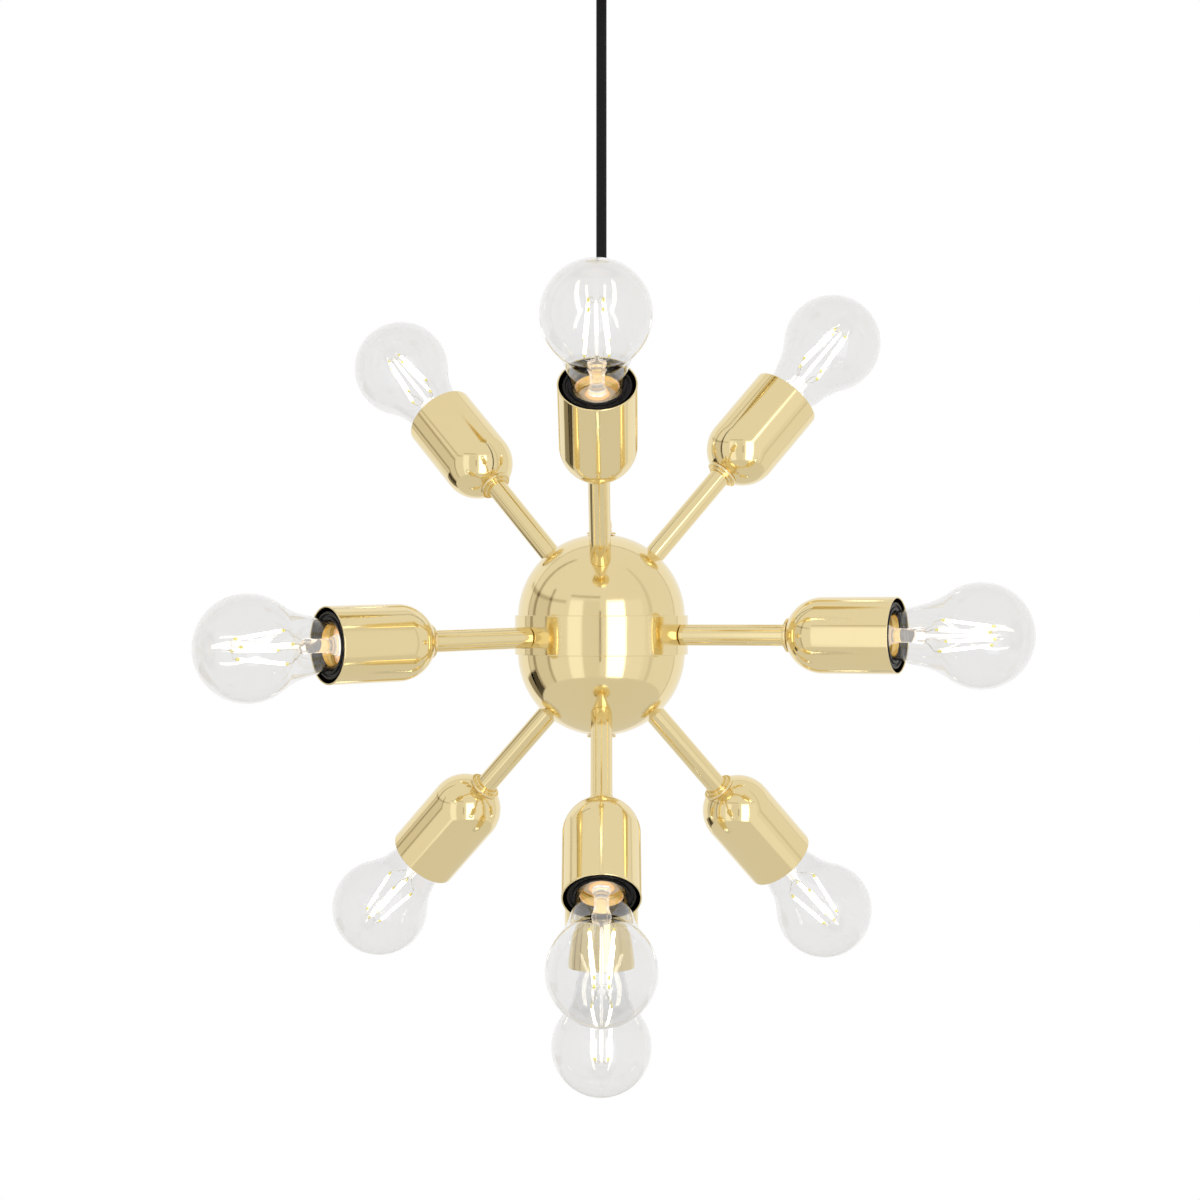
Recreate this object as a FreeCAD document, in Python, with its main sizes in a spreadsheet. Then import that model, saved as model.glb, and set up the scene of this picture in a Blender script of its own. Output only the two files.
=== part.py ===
"""Sputnik pendant: a two-shell hub with ten brass arms, each with a socket cup and a clear bulb.

Frame: millimetres, +Z up, origin on the ceiling at the middle of the fixing strap. Azimuth 0 is
the front (-Y) and positive azimuths turn towards +X. Everything hangs below the origin.
"""
import FreeCAD, Part
import math
import os

import Sketcher
from FreeCAD import Placement, Rotation, Vector

# Driving dimensions in mm. Counts, a taper and shares are plain numbers.
DIMENSIONS = {
    # Hub
    "hub_drop": 422.0,
    "hub_diameter": 100.0,
    "hub_wall": 1.2,
    "shell_spread": 20.5,
    "band_diameter": 103.6,
    "band_height": 23.5,
    "band_bore": 94.0,
    # Arms and their threaded nipples
    "arm_diameter": 12.5,
    "arm_bore": 10.3,
    "arm_reach": 116.5,
    "middle_seat": 0.15,
    "down_arm_extra": 3.3,
    "nipple_diameter": 10.0,
    "nipple_bore": 7.2,
    "nipple_in_hub": 9.0,
    "nipple_in_arm": 12.0,
    "nipple_in_holder": 12.0,
    "nut_flats": 14.0,
    "nut_thickness": 3.0,
    "thread_clearance": 0.1,
    # Stepped collar and socket cup
    "collar_diameter": 20.0,
    "collar_thickness": 1.6,
    "collar_step_diameter": 16.0,
    "collar_step_thickness": 1.4,
    "cup_diameter": 44.0,
    "cup_wall": 0.9,
    "cup_length": 64.5,
    "cup_flat_diameter": 18.4,
    # Lampholder
    "holder_diameter": 38.0,
    "holder_top_diameter": 16.0,
    "holder_shoulder": 15.0,
    "holder_recess": 1.2,
    "holder_bore": 28.4,
    "holder_mouth_wall": 3.0,
    "wiring_room_diameter": 24.0,
    "wiring_room_depth": 14.0,
    "wire_hole_diameter": 4.0,
    "holder_floor": 4.0,
    "screw_shell_diameter": 28.0,
    "screw_shell_wall": 0.4,
    "screw_shell_length": 23.0,
    "contact_diameter": 9.0,
    "contact_gap": 0.3,
    # Bulb
    "bulb_seat": 34.5,
    "bulb_length": 108.0,
    "globe_diameter": 60.0,
    "glass_wall": 0.7,
    "cap_diameter": 26.4,
    "cap_height": 27.0,
    "cap_wall": 0.4,
    "cap_contact_diameter": 9.0,
    "cap_contact_height": 1.2,
    "cap_cone_height": 5.0,
    "neck_diameter": 25.2,
    "neck_collar_diameter": 26.8,
    "neck_taper": 0.24,
    "neck_in_cap": 7.0,
    "neck_fillet": 50.0,
    "stem_flange_diameter": 23.0,
    "stem_diameter": 8.0,
    "stem_tip_diameter": 5.0,
    "stem_height": 26.0,
    "stem_rod_diameter": 1.2,
    "stem_rod_length": 42.0,
    "filament_diameter": 2.0,
    "filament_length": 31.0,
    "filament_start": 8.5,
    "filament_inner_radius": 9.5,
    "filament_outer_radius": 5.5,
    "support_wire_diameter": 0.7,
    "filament_count": 4.0,
    # Tie rod, cord grip and base washer of the hub
    "rod_above_hub": 5.0,
    "rod_in_down_arm": 14.0,
    "washer_diameter": 17.5,
    "washer_thickness": 1.2,
    "grip_flange_thickness": 1.2,
    "grip_neck_diameter": 12.6,
    "grip_neck_height": 5.0,
    "grip_tip_diameter": 9.0,
    "grip_height": 14.0,
    # Cord
    "cord_diameter": 6.2,
    "cord_clearance": 0.3,
    # Ceiling cup, its bush, strap and terminal block
    "ceiling_cup_diameter": 100.0,
    "ceiling_cup_height": 25.0,
    "ceiling_cup_wall": 1.0,
    "ceiling_cup_corner": 5.0,
    "bush_flange_diameter": 20.0,
    "bush_flange_thickness": 2.0,
    "bush_neck_diameter": 13.0,
    "bush_neck_length": 9.0,
    "bush_pivot_depth": 5.0,
    "bush_mouth_diameter": 11.0,
    "strap_width": 20.0,
    "strap_thickness": 2.0,
    "strap_clearance": 0.3,
    "strap_tab_height": 15.0,
    "strap_hole_spacing": 60.0,
    "strap_slot_width": 4.6,
    "strap_slot_length": 12.0,
    "side_screw_diameter": 4.0,
    "side_screw_head_diameter": 8.0,
    "side_screw_head_height": 2.2,
    "side_screw_length": 8.0,
    "side_screw_depth": 9.0,
    "terminal_length": 26.0,
    "terminal_width": 14.0,
    "terminal_height": 11.0,
    "terminal_poles": 3.0,
    "terminal_hole_diameter": 4.0,
}

# Every light: name, tier, azimuth and elevation in degrees, as the arms of the real one stand.
UPPER, MIDDLE, LOWER, DOWN = "upper", "middle", "lower", "down"
LIGHTS = [
    ("upper_front", UPPER, -1.0, 44.0),
    ("upper_left", UPPER, -130.0, 43.5),
    ("upper_right", UPPER, 113.0, 47.5),
    ("middle_left", MIDDLE, -56.0, -1.4),
    ("middle_right", MIDDLE, 66.0, 0.2),
    ("middle_back", MIDDLE, 180.0, 0.0),
    ("lower_front", LOWER, 0.0, -45.6),
    ("lower_left", LOWER, -121.0, -45.0),
    ("lower_right", LOWER, 120.0, -45.4),
    ("down", DOWN, 0.0, -90.0),
]


class Size:
    """A length together with the sheet expression that it is worked out from."""

    def __init__(self, value, text):
        self.value = value
        self.text = text

    def join(self, other, symbol, value):
        return Size(value, "(" + self.text + " " + symbol + " " + other.text + ")")

    def __add__(self, other):
        other = size(other)
        return self.join(other, "+", self.value + other.value)

    def __sub__(self, other):
        other = size(other)
        return self.join(other, "-", self.value - other.value)

    def __mul__(self, other):
        other = size(other)
        return self.join(other, "*", self.value * other.value)

    def __truediv__(self, other):
        other = size(other)
        return self.join(other, "/", self.value / other.value)

    def root(self):
        return Size(math.sqrt(self.value), "sqrt(" + self.text + ")")


def size(number):
    """The number as a Size, unless it is one already."""
    if isinstance(number, Size):
        return number
    return Size(float(number), repr(float(number)))


def leg(longest, other):
    """The third side of a right triangle with this longest side."""
    longest = size(longest)
    other = size(other)
    return (longest * longest - other * other).root()


doc = FreeCAD.newDocument("sputnik_pendant")
sheet = doc.addObject("Spreadsheet::Sheet", "Sizes")
for row, (alias, number) in enumerate(DIMENSIONS.items(), start=1):
    sheet.set("A" + str(row), alias)
    sheet.set("B" + str(row), str(number))
    sheet.setAlias("B" + str(row), alias)
doc.recompute()


def dim(alias):
    """A driving dimension, read from the sheet."""
    return Size(float(sheet.get(alias)), "Sizes." + alias)


# ---------------------------------------------------------------- sizes worked out from the sheet
HUB_R = dim("hub_diameter") / 2
HUB_INNER_R = HUB_R - dim("hub_wall")
SPREAD = dim("shell_spread") / 2
BAND_R = dim("band_diameter") / 2
BAND_INNER_R = dim("band_bore") / 2
HALF_BAND = dim("band_height") / 2
THREAD_R = dim("nipple_diameter") / 2
HOLE_R = THREAD_R + dim("thread_clearance")
ARM_R = dim("arm_diameter") / 2
ARM_INNER_R = dim("arm_bore") / 2
COLLAR_HEIGHT = dim("collar_thickness") + dim("collar_step_thickness")
CUP_POLE = dim("arm_reach") + COLLAR_HEIGHT
CUP_RIM = CUP_POLE + dim("cup_length")
CUP_R = dim("cup_diameter") / 2
CUP_INNER_R = CUP_R - dim("cup_wall")
CUP_FLAT_R = dim("cup_flat_diameter") / 2
DOME_DEPTH = leg(CUP_R, CUP_FLAT_R)
HOLDER_TOP = CUP_POLE + dim("cup_wall")
HOLDER_RIM = CUP_RIM - dim("holder_recess")
BULB_SEAT = CUP_POLE + dim("bulb_seat")
HOLDER_FLOOR = BULB_SEAT - dim("contact_gap") - dim("screw_shell_wall") * 6
CAP_TOP = BULB_SEAT + dim("cap_height")
GLOBE_R = dim("globe_diameter") / 2
GLOBE_CENTRE = BULB_SEAT + dim("bulb_length") - GLOBE_R
CORD_R = dim("cord_diameter") / 2
CORD_BORE_R = CORD_R + dim("cord_clearance")
HUB_Z = -dim("hub_drop").value

# A nut lies on the inside of a shell, touching it with its corners.
NUT_CORNER_R = dim("nut_flats") / math.sqrt(3)
NUT_FACE = leg(HUB_INNER_R, NUT_CORNER_R)
# A flat tube end rests on the round shell at its bore, and on the band at its rim.
ARM_ON_SHELL = leg(HUB_R, ARM_INNER_R)
WASHER_ON_SHELL = leg(HUB_R, HOLE_R)
DOWN_ARM_START = WASHER_ON_SHELL + dim("washer_thickness")
ARM_STARTS = {
    UPPER: ARM_ON_SHELL,
    MIDDLE: BAND_R + dim("middle_seat"),
    LOWER: ARM_ON_SHELL,
    DOWN: ARM_ON_SHELL - dim("down_arm_extra"),
}
# The down light stands lower than the others by its washer and its longer arm.
DOWN_SHIFT = DOWN_ARM_START - ARM_STARTS[DOWN]


# ---------------------------------------------------------------- ways of making a solid
def origin_plane(body, role):
    for feature in body.Origin.OriginFeatures:
        if feature.Role == role:
            return feature
    raise ValueError(role)


class Corner:
    """A corner of an outline. bend is the radius of the arc that leads to the next corner, and
    bulge says on which side of the straight line the arc stands: 1 is to the left."""

    def __init__(self, across, along, bend=None, bulge=1):
        self.across = size(across)
        self.along = size(along)
        self.bend = bend
        self.bulge = bulge

    def point(self):
        return Vector(self.across.value, self.along.value, 0)


def edge_between(corner, following):
    """The straight or round edge from one corner to the next."""
    start = corner.point()
    end = following.point()
    if corner.bend is None:
        return Part.LineSegment(start, end)
    chord = end - start
    half = chord.Length / 2
    sagitta = corner.bend.value - math.sqrt(corner.bend.value ** 2 - half ** 2)
    left = Vector(-chord.y, chord.x, 0).normalize()
    crown = start + chord * 0.5 + left * (sagitta * corner.bulge)
    return Part.Arc(start, crown, end)


def fix_distance(sketch, kind, edge, vertex, length, axis):
    """Holds a sketch point at a length from the origin, or on the axis where the length is 0."""
    if abs(length.value) < 1e-9:
        sketch.addConstraint(Sketcher.Constraint("PointOnObject", edge, vertex, axis))
        return
    index = sketch.addConstraint(Sketcher.Constraint(kind, -1, 1, edge, vertex, length.value))
    sketch.setExpression("Constraints[%d]" % index, length.text)


def draw(sketch, corners):
    """Draws a closed outline and ties each corner and radius to the sheet."""
    ends = []
    for index, corner in enumerate(corners):
        following = corners[(index + 1) % len(corners)]
        edge = sketch.addGeometry(edge_between(corner, following))
        begins = (sketch.getPoint(edge, 1) - corner.point()).Length < 1e-6
        ends.append((edge, 1 if begins else 2, 2 if begins else 1))
    for index, (edge, first, last) in enumerate(ends):
        next_edge, next_first, _ = ends[(index + 1) % len(ends)]
        sketch.addConstraint(Sketcher.Constraint("Coincident", edge, last, next_edge, next_first))
    for corner, (edge, first, last) in zip(corners, ends):
        fix_distance(sketch, "DistanceX", edge, first, corner.across, -2)
        fix_distance(sketch, "DistanceY", edge, first, corner.along, -1)
        if corner.bend is not None:
            index = sketch.addConstraint(Sketcher.Constraint("Radius", edge, corner.bend.value))
            sketch.setExpression("Constraints[%d]" % index, corner.bend.text)


def sketched_body(name, corners, plane="XZ_Plane", placement=None):
    """A body with one closed outline on one of its origin planes."""
    body = doc.addObject("PartDesign::Body", name)
    body.Label = name
    sketch = body.newObject("Sketcher::SketchObject", name + "_outline")
    sketch.AttachmentSupport = [(origin_plane(body, plane), "")]
    sketch.MapMode = "FlatFace"
    draw(sketch, corners)
    if placement is not None:
        body.Placement = placement
    return body, sketch


def turned(name, corners, placement=None):
    """A body of revolution about its own Z axis, from an outline of (radius, height) corners."""
    body, sketch = sketched_body(name, corners, "XZ_Plane", placement)
    turn = body.newObject("PartDesign::Revolution", name + "_turn")
    turn.Profile = sketch
    turn.ReferenceAxis = (sketch, ["V_Axis"])
    turn.Angle = 360
    sketch.Visibility = False
    return body


def ring(inner, outer, low, high):
    """The outline of a plain tube or washer."""
    return [Corner(inner, low), Corner(outer, low), Corner(outer, high), Corner(inner, high)]


def cut_hole(body, name, plane, across, along, radius):
    """A round hole straight through a body, drilled both ways from one of its origin planes."""
    sketch = body.newObject("Sketcher::SketchObject", name + "_outline")
    sketch.AttachmentSupport = [(origin_plane(body, plane), "")]
    sketch.MapMode = "FlatFace"
    centre = Vector(across.value, along.value, 0)
    edge = sketch.addGeometry(Part.Circle(centre, Vector(0, 0, 1), radius.value))
    index = sketch.addConstraint(Sketcher.Constraint("Radius", edge, radius.value))
    sketch.setExpression("Constraints[%d]" % index, radius.text)
    fix_distance(sketch, "DistanceX", edge, 3, across, -2)
    fix_distance(sketch, "DistanceY", edge, 3, along, -1)
    pocket = body.newObject("PartDesign::Pocket", name)
    pocket.Profile = sketch
    pocket.Type = "ThroughAll"
    pocket.Midplane = True
    sketch.Visibility = False
    return pocket


def rod(name, radius, length, placement=None):
    """A plain round rod that stands on its placement."""
    cylinder = doc.addObject("Part::Cylinder", name)
    cylinder.Label = name
    cylinder.setExpression("Radius", size(radius).text)
    cylinder.setExpression("Height", size(length).text)
    if placement is not None:
        cylinder.Placement = placement
    return cylinder


def group(name, pieces, placement=None):
    """Separate solids that share one node."""
    compound = doc.addObject("Part::Compound", name)
    compound.Label = name
    compound.Links = pieces
    if placement is not None:
        compound.Placement = placement
    return compound


# ---------------------------------------------------------------- where each light stands
def light_placement(tier, azimuth, elevation):
    """The frame of a light: +Z runs out along its arm from the middle of the shell it is on."""
    turn = math.radians(azimuth)
    rise = math.radians(elevation)
    way = Vector(
        math.cos(rise) * math.sin(turn),
        -math.cos(rise) * math.cos(turn),
        math.sin(rise),
    )
    heights = {UPPER: SPREAD.value, MIDDLE: 0.0, LOWER: -SPREAD.value, DOWN: -SPREAD.value}
    start = Vector(0, 0, HUB_Z + heights[tier])
    if tier == DOWN:
        start = start + way * DOWN_SHIFT.value
    return Placement(start, Rotation(Vector(0, 0, 1), way))


PLACES = {name: light_placement(tier, turn, rise) for name, tier, turn, rise in LIGHTS}
TIERS = {name: tier for name, tier, turn, rise in LIGHTS}


# ---------------------------------------------------------------- the pieces of one light
def make_arm_tube(name, tier, place):
    outline = ring(ARM_INNER_R, ARM_R, ARM_STARTS[tier], dim("arm_reach"))
    return turned("tube_" + name, outline, place)


def make_collar(name, place):
    """The stepped brass collar between the arm and the cup."""
    step = dim("arm_reach") + dim("collar_step_thickness")
    outline = [
        Corner(HOLE_R, dim("arm_reach")),
        Corner(dim("collar_step_diameter") / 2, dim("arm_reach")),
        Corner(dim("collar_step_diameter") / 2, step),
        Corner(dim("collar_diameter") / 2, step),
        Corner(dim("collar_diameter") / 2, CUP_POLE),
        Corner(HOLE_R, CUP_POLE),
    ]
    return turned("collar_" + name, outline, place)


def make_nipple(name, low, high, place):
    outline = ring(dim("nipple_bore") / 2, THREAD_R, low, high)
    return turned("nipple_" + name, outline, place)


def make_cup(name, place):
    """A spun brass cup: a flat pole, a round dome and a straight skirt."""
    dome_end = CUP_POLE + DOME_DEPTH
    inner_pole = CUP_POLE + dim("cup_wall")
    inner_flat_r = leg(CUP_INNER_R, DOME_DEPTH - dim("cup_wall"))
    outline = [
        Corner(HOLE_R, CUP_POLE),
        Corner(CUP_FLAT_R, CUP_POLE, CUP_R, -1),
        Corner(CUP_R, dome_end),
        Corner(CUP_R, CUP_RIM),
        Corner(CUP_INNER_R, CUP_RIM),
        Corner(CUP_INNER_R, dome_end, CUP_INNER_R, 1),
        Corner(inner_flat_r, inner_pole),
        Corner(HOLE_R, inner_pole),
    ]
    return turned("socket_cup_" + name, outline, place)


def make_lampholder(name, place):
    """The black lampholder: a threaded top, a wiring room, a floor and an open skirt."""
    holder_r = dim("holder_diameter") / 2
    shoulder = HOLDER_TOP + dim("holder_shoulder")
    room_top = HOLDER_FLOOR - dim("holder_floor") - dim("wiring_room_depth")
    room_floor = HOLDER_FLOOR - dim("holder_floor")
    outline = [
        Corner(HOLE_R, HOLDER_TOP),
        Corner(dim("holder_top_diameter") / 2, HOLDER_TOP),
        Corner(holder_r - dim("holder_mouth_wall"), shoulder),
        Corner(holder_r - dim("holder_mouth_wall"), room_floor),
        Corner(holder_r, room_floor + dim("holder_mouth_wall")),
        Corner(holder_r, HOLDER_RIM),
        Corner(dim("holder_bore") / 2, HOLDER_RIM),
        Corner(dim("holder_bore") / 2, HOLDER_FLOOR),
        Corner(dim("wire_hole_diameter") / 2, HOLDER_FLOOR),
        Corner(dim("wire_hole_diameter") / 2, room_floor),
        Corner(dim("wiring_room_diameter") / 2, room_floor),
        Corner(dim("wiring_room_diameter") / 2, room_top),
        Corner(HOLE_R, room_top),
    ]
    return turned("holder_" + name, outline, place)


def make_contacts(name, place):
    """The screw shell and the spring contact that the bulb's cap meets."""
    shell_r = dim("screw_shell_diameter") / 2
    outline = ring(
        shell_r - dim("screw_shell_wall"),
        shell_r,
        HOLDER_FLOOR,
        HOLDER_FLOOR + dim("screw_shell_length"),
    )
    shell = turned("shell_" + name, outline, place)
    seat = place.multiply(Placement(Vector(0, 0, HOLDER_FLOOR.value), Rotation()))
    spring = rod(
        "spring_" + name,
        dim("contact_diameter") / 2,
        BULB_SEAT - dim("contact_gap") - HOLDER_FLOOR,
        seat,
    )
    return [shell, spring]


def make_bulb_cap(name, place):
    """The bulb's metal cap, with its contact, insulator cone and thread sleeve."""
    cap_r = dim("cap_diameter") / 2
    contact_r = dim("cap_contact_diameter") / 2
    contact_top = BULB_SEAT + dim("cap_contact_height")
    cone_top = BULB_SEAT + dim("cap_cone_height")
    wall = dim("cap_wall")
    outline = [
        Corner(0, BULB_SEAT),
        Corner(contact_r, BULB_SEAT),
        Corner(contact_r, contact_top),
        Corner(cap_r, cone_top),
        Corner(cap_r, CAP_TOP),
        Corner(cap_r - wall, CAP_TOP),
        Corner(cap_r - wall, cone_top + wall),
        Corner(contact_r, contact_top + wall * 2),
        Corner(0, contact_top + wall * 2),
    ]
    return turned("bulb_cap_" + name, outline, place)


def make_bulb_glass(name, place):
    """The pear-shaped envelope: a tapered neck and a globe, joined by a fillet tangent to both."""
    wall = dim("glass_wall")
    neck_r = dim("neck_diameter") / 2
    collar_r = dim("neck_collar_diameter") / 2
    fillet_r = dim("neck_fillet")
    taper = dim("neck_taper")
    lean = (taper * taper + 1).root()
    drop = GLOBE_CENTRE - CAP_TOP
    # How far the globe's centre is along the neck's slant line, and how far away from it.
    ahead = (drop - collar_r * taper) / lean
    aside = (collar_r + drop * taper) / lean
    run = ahead - leg(GLOBE_R + fillet_r, aside + fillet_r)
    flare_r = collar_r + run * taper / lean
    flare_z = CAP_TOP + run / lean
    middle_r = flare_r + fillet_r / lean
    middle_z = flare_z - fillet_r * taper / lean
    touch = GLOBE_R / (GLOBE_R + fillet_r)
    inner_touch = (GLOBE_R - wall) / (GLOBE_R + fillet_r)
    start = CAP_TOP - dim("neck_in_cap")
    below = middle_z - GLOBE_CENTRE
    outline = [
        Corner(neck_r - wall, start),
        Corner(neck_r, start),
        Corner(neck_r, CAP_TOP),
        Corner(collar_r, CAP_TOP),
        Corner(flare_r, flare_z, fillet_r, 1),
        Corner(middle_r * touch, GLOBE_CENTRE + below * touch, GLOBE_R, -1),
        Corner(GLOBE_R, GLOBE_CENTRE, GLOBE_R, -1),
        Corner(0, GLOBE_CENTRE + GLOBE_R),
        Corner(0, GLOBE_CENTRE + GLOBE_R - wall, GLOBE_R - wall, 1),
        Corner(GLOBE_R - wall, GLOBE_CENTRE, GLOBE_R - wall, 1),
        Corner(middle_r * inner_touch, GLOBE_CENTRE + below * inner_touch, fillet_r + wall, -1),
        Corner(flare_r - wall / lean, flare_z + wall * taper / lean),
        Corner(neck_r - wall, CAP_TOP),
    ]
    return turned("bulb_glass_" + name, outline, place)


def make_filaments(name, place):
    """The glass stem with its rod, and the cage of light strips on their support wires."""
    stem_start = CAP_TOP - dim("neck_in_cap")
    flange_r = dim("stem_flange_diameter") / 2
    stem_r = dim("stem_diameter") / 2
    stem_top = stem_start + dim("stem_height")
    rod_r = dim("stem_rod_diameter") / 2
    rod_top = stem_top + dim("stem_rod_length")
    outline = [
        Corner(0, stem_start),
        Corner(flange_r, stem_start),
        Corner(stem_r, stem_start + stem_r),
        Corner(dim("stem_tip_diameter") / 2, stem_top),
        Corner(rod_r, stem_top),
        Corner(rod_r, rod_top),
        Corner(0, rod_top),
    ]
    pieces = [turned("stem_" + name, outline)]
    wire_r = dim("support_wire_diameter") / 2
    strip_start = stem_top + dim("filament_start")
    strip_end = strip_start + dim("filament_length")
    inner = dim("filament_inner_radius")
    outer = dim("filament_outer_radius")
    narrowing = inner - outer
    length = dim("filament_length")
    strip_length = (length * length + narrowing * narrowing).root()
    slope = math.degrees(math.atan2(-narrowing.value, length.value))
    count = int(dim("filament_count").value)
    for step in range(count):
        turn = Rotation(Vector(0, 0, 1), 360.0 * step / count + 180.0 / count)
        foot = turn.multVec(Vector(inner.value, 0, strip_start.value))
        label = name + "_" + str(step + 1)
        strip = rod("strip_" + label, dim("filament_diameter") / 2, strip_length)
        strip.Placement = Placement(foot, turn.multiply(Rotation(Vector(0, 1, 0), slope)))
        out = turn.multiply(Rotation(Vector(0, 1, 0), 90))
        low_wire = rod("low_wire_" + label, wire_r, inner)
        low_wire.Placement = Placement(Vector(0, 0, strip_start.value), out)
        high_wire = rod("high_wire_" + label, wire_r, outer)
        high_wire.Placement = Placement(Vector(0, 0, strip_end.value), out)
        pieces.extend([strip, low_wire, high_wire])
    fuse = doc.addObject("Part::MultiFuse", "bulb_filaments_" + name)
    fuse.Label = "bulb_filaments_" + name
    fuse.Shapes = pieces
    fuse.Placement = place
    return fuse


# ---------------------------------------------------------------- the hub
def hub_place(turn_over):
    """The frame of one half shell: its pole is on +Z, and the lower one is turned over."""
    if turn_over:
        return Placement(Vector(0, 0, HUB_Z - SPREAD.value), Rotation(Vector(1, 0, 0), 180))
    return Placement(Vector(0, 0, HUB_Z + SPREAD.value), Rotation())


def make_hub_shell(name, tier, place):
    """Half of the hub, with a hole at its pole and one for each of its arms."""
    outline = [
        Corner(HUB_INNER_R, 0),
        Corner(HUB_R, 0, HUB_R, -1),
        Corner(HOLE_R, leg(HUB_R, HOLE_R)),
        Corner(HOLE_R, leg(HUB_INNER_R, HOLE_R), HUB_INNER_R, 1),
    ]
    body = turned(name + "_blank", outline, place)
    drills = []
    for light, where in PLACES.items():
        if TIERS[light] != tier:
            continue
        drill = rod(name + "_drill_" + light, HOLE_R, HUB_R * 1.2, where)
        drills.append(drill)
    return cut_all(name, body, drills)


def cut_all(name, base, tools):
    """The base less all of the tools."""
    bundle = doc.addObject("Part::MultiFuse", name + "_tools")
    bundle.Shapes = tools
    cut = doc.addObject("Part::Cut", name)
    cut.Label = name
    cut.Base = base
    cut.Tool = bundle
    return cut


def make_hub_band():
    """The ring between the shells. Each shell's rim stands on a ledge inside it."""
    seat_r = HUB_R + dim("thread_clearance")
    ledge_low = HALF_BAND - SPREAD
    outline = [
        Corner(BAND_INNER_R, ledge_low),
        Corner(seat_r, ledge_low),
        Corner(seat_r, 0),
        Corner(BAND_R, 0),
        Corner(BAND_R, dim("band_height")),
        Corner(seat_r, dim("band_height")),
        Corner(seat_r, dim("band_height") - ledge_low),
        Corner(BAND_INNER_R, dim("band_height") - ledge_low),
    ]
    place = Placement(Vector(0, 0, HUB_Z - HALF_BAND.value), Rotation())
    body = turned("hub_band_blank", outline, place)
    drills = []
    for light, where in PLACES.items():
        if TIERS[light] == MIDDLE:
            drills.append(rod("hub_band_drill_" + light, HOLE_R, HUB_R * 1.2, where))
    return cut_all("hub_band", body, drills)


def make_nut(name, face, place):
    """A thin hexagon nut whose outer face is this far out along its placement's +Z."""
    flats = dim("nut_flats")
    base = place.multiply(Placement(Vector(0, 0, (face - dim("nut_thickness")).value), Rotation()))
    prism = doc.addObject("Part::Prism", "nut_blank_" + name)
    prism.Polygon = 6
    prism.setExpression("Circumradius", NUT_CORNER_R.text)
    prism.setExpression("Height", dim("nut_thickness").text)
    prism.Placement = base
    bore = rod("nut_bore_" + name, HOLE_R, flats)
    bore.Placement = base.multiply(Placement(Vector(0, 0, -flats.value / 4), Rotation()))
    nut = doc.addObject("Part::Cut", "nut_" + name)
    nut.Base = prism
    nut.Tool = bore
    return nut


def make_arm_fastenings():
    """The nipples at both ends of every arm, and the nuts inside the hub."""
    nipples = []
    nuts = []
    for name, place in PLACES.items():
        tier = TIERS[name]
        nipples.append(
            make_nipple(
                name + "_cup",
                dim("arm_reach") - dim("nipple_in_arm"),
                HOLDER_TOP + dim("nipple_in_holder"),
                place,
            )
        )
        if tier == DOWN:
            continue
        start = ARM_STARTS[tier]
        face = leg(BAND_INNER_R, NUT_CORNER_R) if tier == MIDDLE else NUT_FACE
        nipples.append(
            make_nipple(
                name + "_hub",
                start - dim("nipple_in_hub"),
                start + dim("nipple_in_arm"),
                place,
            )
        )
        nuts.append(make_nut(name, face, place))
    nuts.append(make_nut("top", NUT_FACE, hub_place(False)))
    nuts.append(make_nut("bottom", NUT_FACE, hub_place(True)))
    return [group("arm_nipples", nipples), group("hex_nuts", nuts)]


def make_tie_rod():
    """The hollow threaded rod that pulls the shells together and carries the down arm."""
    low = HUB_Z - (SPREAD + DOWN_ARM_START + dim("rod_in_down_arm")).value
    length = SPREAD * 2 + DOWN_ARM_START + dim("rod_in_down_arm")
    length = length + WASHER_ON_SHELL + dim("rod_above_hub")
    outline = ring(dim("nipple_bore") / 2, THREAD_R, 0, length)
    return turned("hub_tie_rod", outline, Placement(Vector(0, 0, low), Rotation()))


def make_base_washer():
    outline = ring(HOLE_R, dim("washer_diameter") / 2, WASHER_ON_SHELL, DOWN_ARM_START)
    return turned("base_washer", outline, hub_place(True))


CORD_GRIP_SEAT = HUB_Z + (SPREAD + WASHER_ON_SHELL).value


def make_cord_grip():
    """The flanged grip on top of the hub, screwed on the tie rod and closed round the cord."""
    flange = dim("grip_flange_thickness")
    neck = flange + dim("grip_neck_height")
    rod_top = dim("rod_above_hub") + dim("thread_clearance")
    outline = [
        Corner(HOLE_R, 0),
        Corner(dim("washer_diameter") / 2, 0),
        Corner(dim("washer_diameter") / 2, flange),
        Corner(dim("grip_neck_diameter") / 2, flange),
        Corner(dim("grip_neck_diameter") / 2, neck),
        Corner(dim("grip_tip_diameter") / 2, dim("grip_height")),
        Corner(CORD_BORE_R, dim("grip_height")),
        Corner(CORD_BORE_R, rod_top),
        Corner(HOLE_R, rod_top),
    ]
    return turned("cord_grip", outline, Placement(Vector(0, 0, CORD_GRIP_SEAT), Rotation()))


# ---------------------------------------------------------------- cord and ceiling fitting
CUP_FLOOR_Z = -dim("ceiling_cup_height").value
PIVOT_Z = CUP_FLOOR_Z - dim("bush_neck_length").value + dim("bush_pivot_depth").value


def make_cord():
    """A taut round cord: a flat end on the tie rod and a ball end in the ceiling bush."""
    low = CORD_GRIP_SEAT + dim("rod_above_hub").value + dim("cord_clearance").value
    run = (
        dim("hub_drop")
        - dim("ceiling_cup_height")
        - dim("bush_neck_length")
        + dim("bush_pivot_depth")
        - SPREAD
        - WASHER_ON_SHELL
        - dim("rod_above_hub")
        - dim("cord_clearance")
    )
    outline = [
        Corner(0, 0),
        Corner(CORD_R, 0),
        Corner(CORD_R, run, CORD_R, -1),
        Corner(0, run + CORD_R),
    ]
    return turned("pendant_cord", outline, Placement(Vector(0, 0, low), Rotation()))


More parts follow.
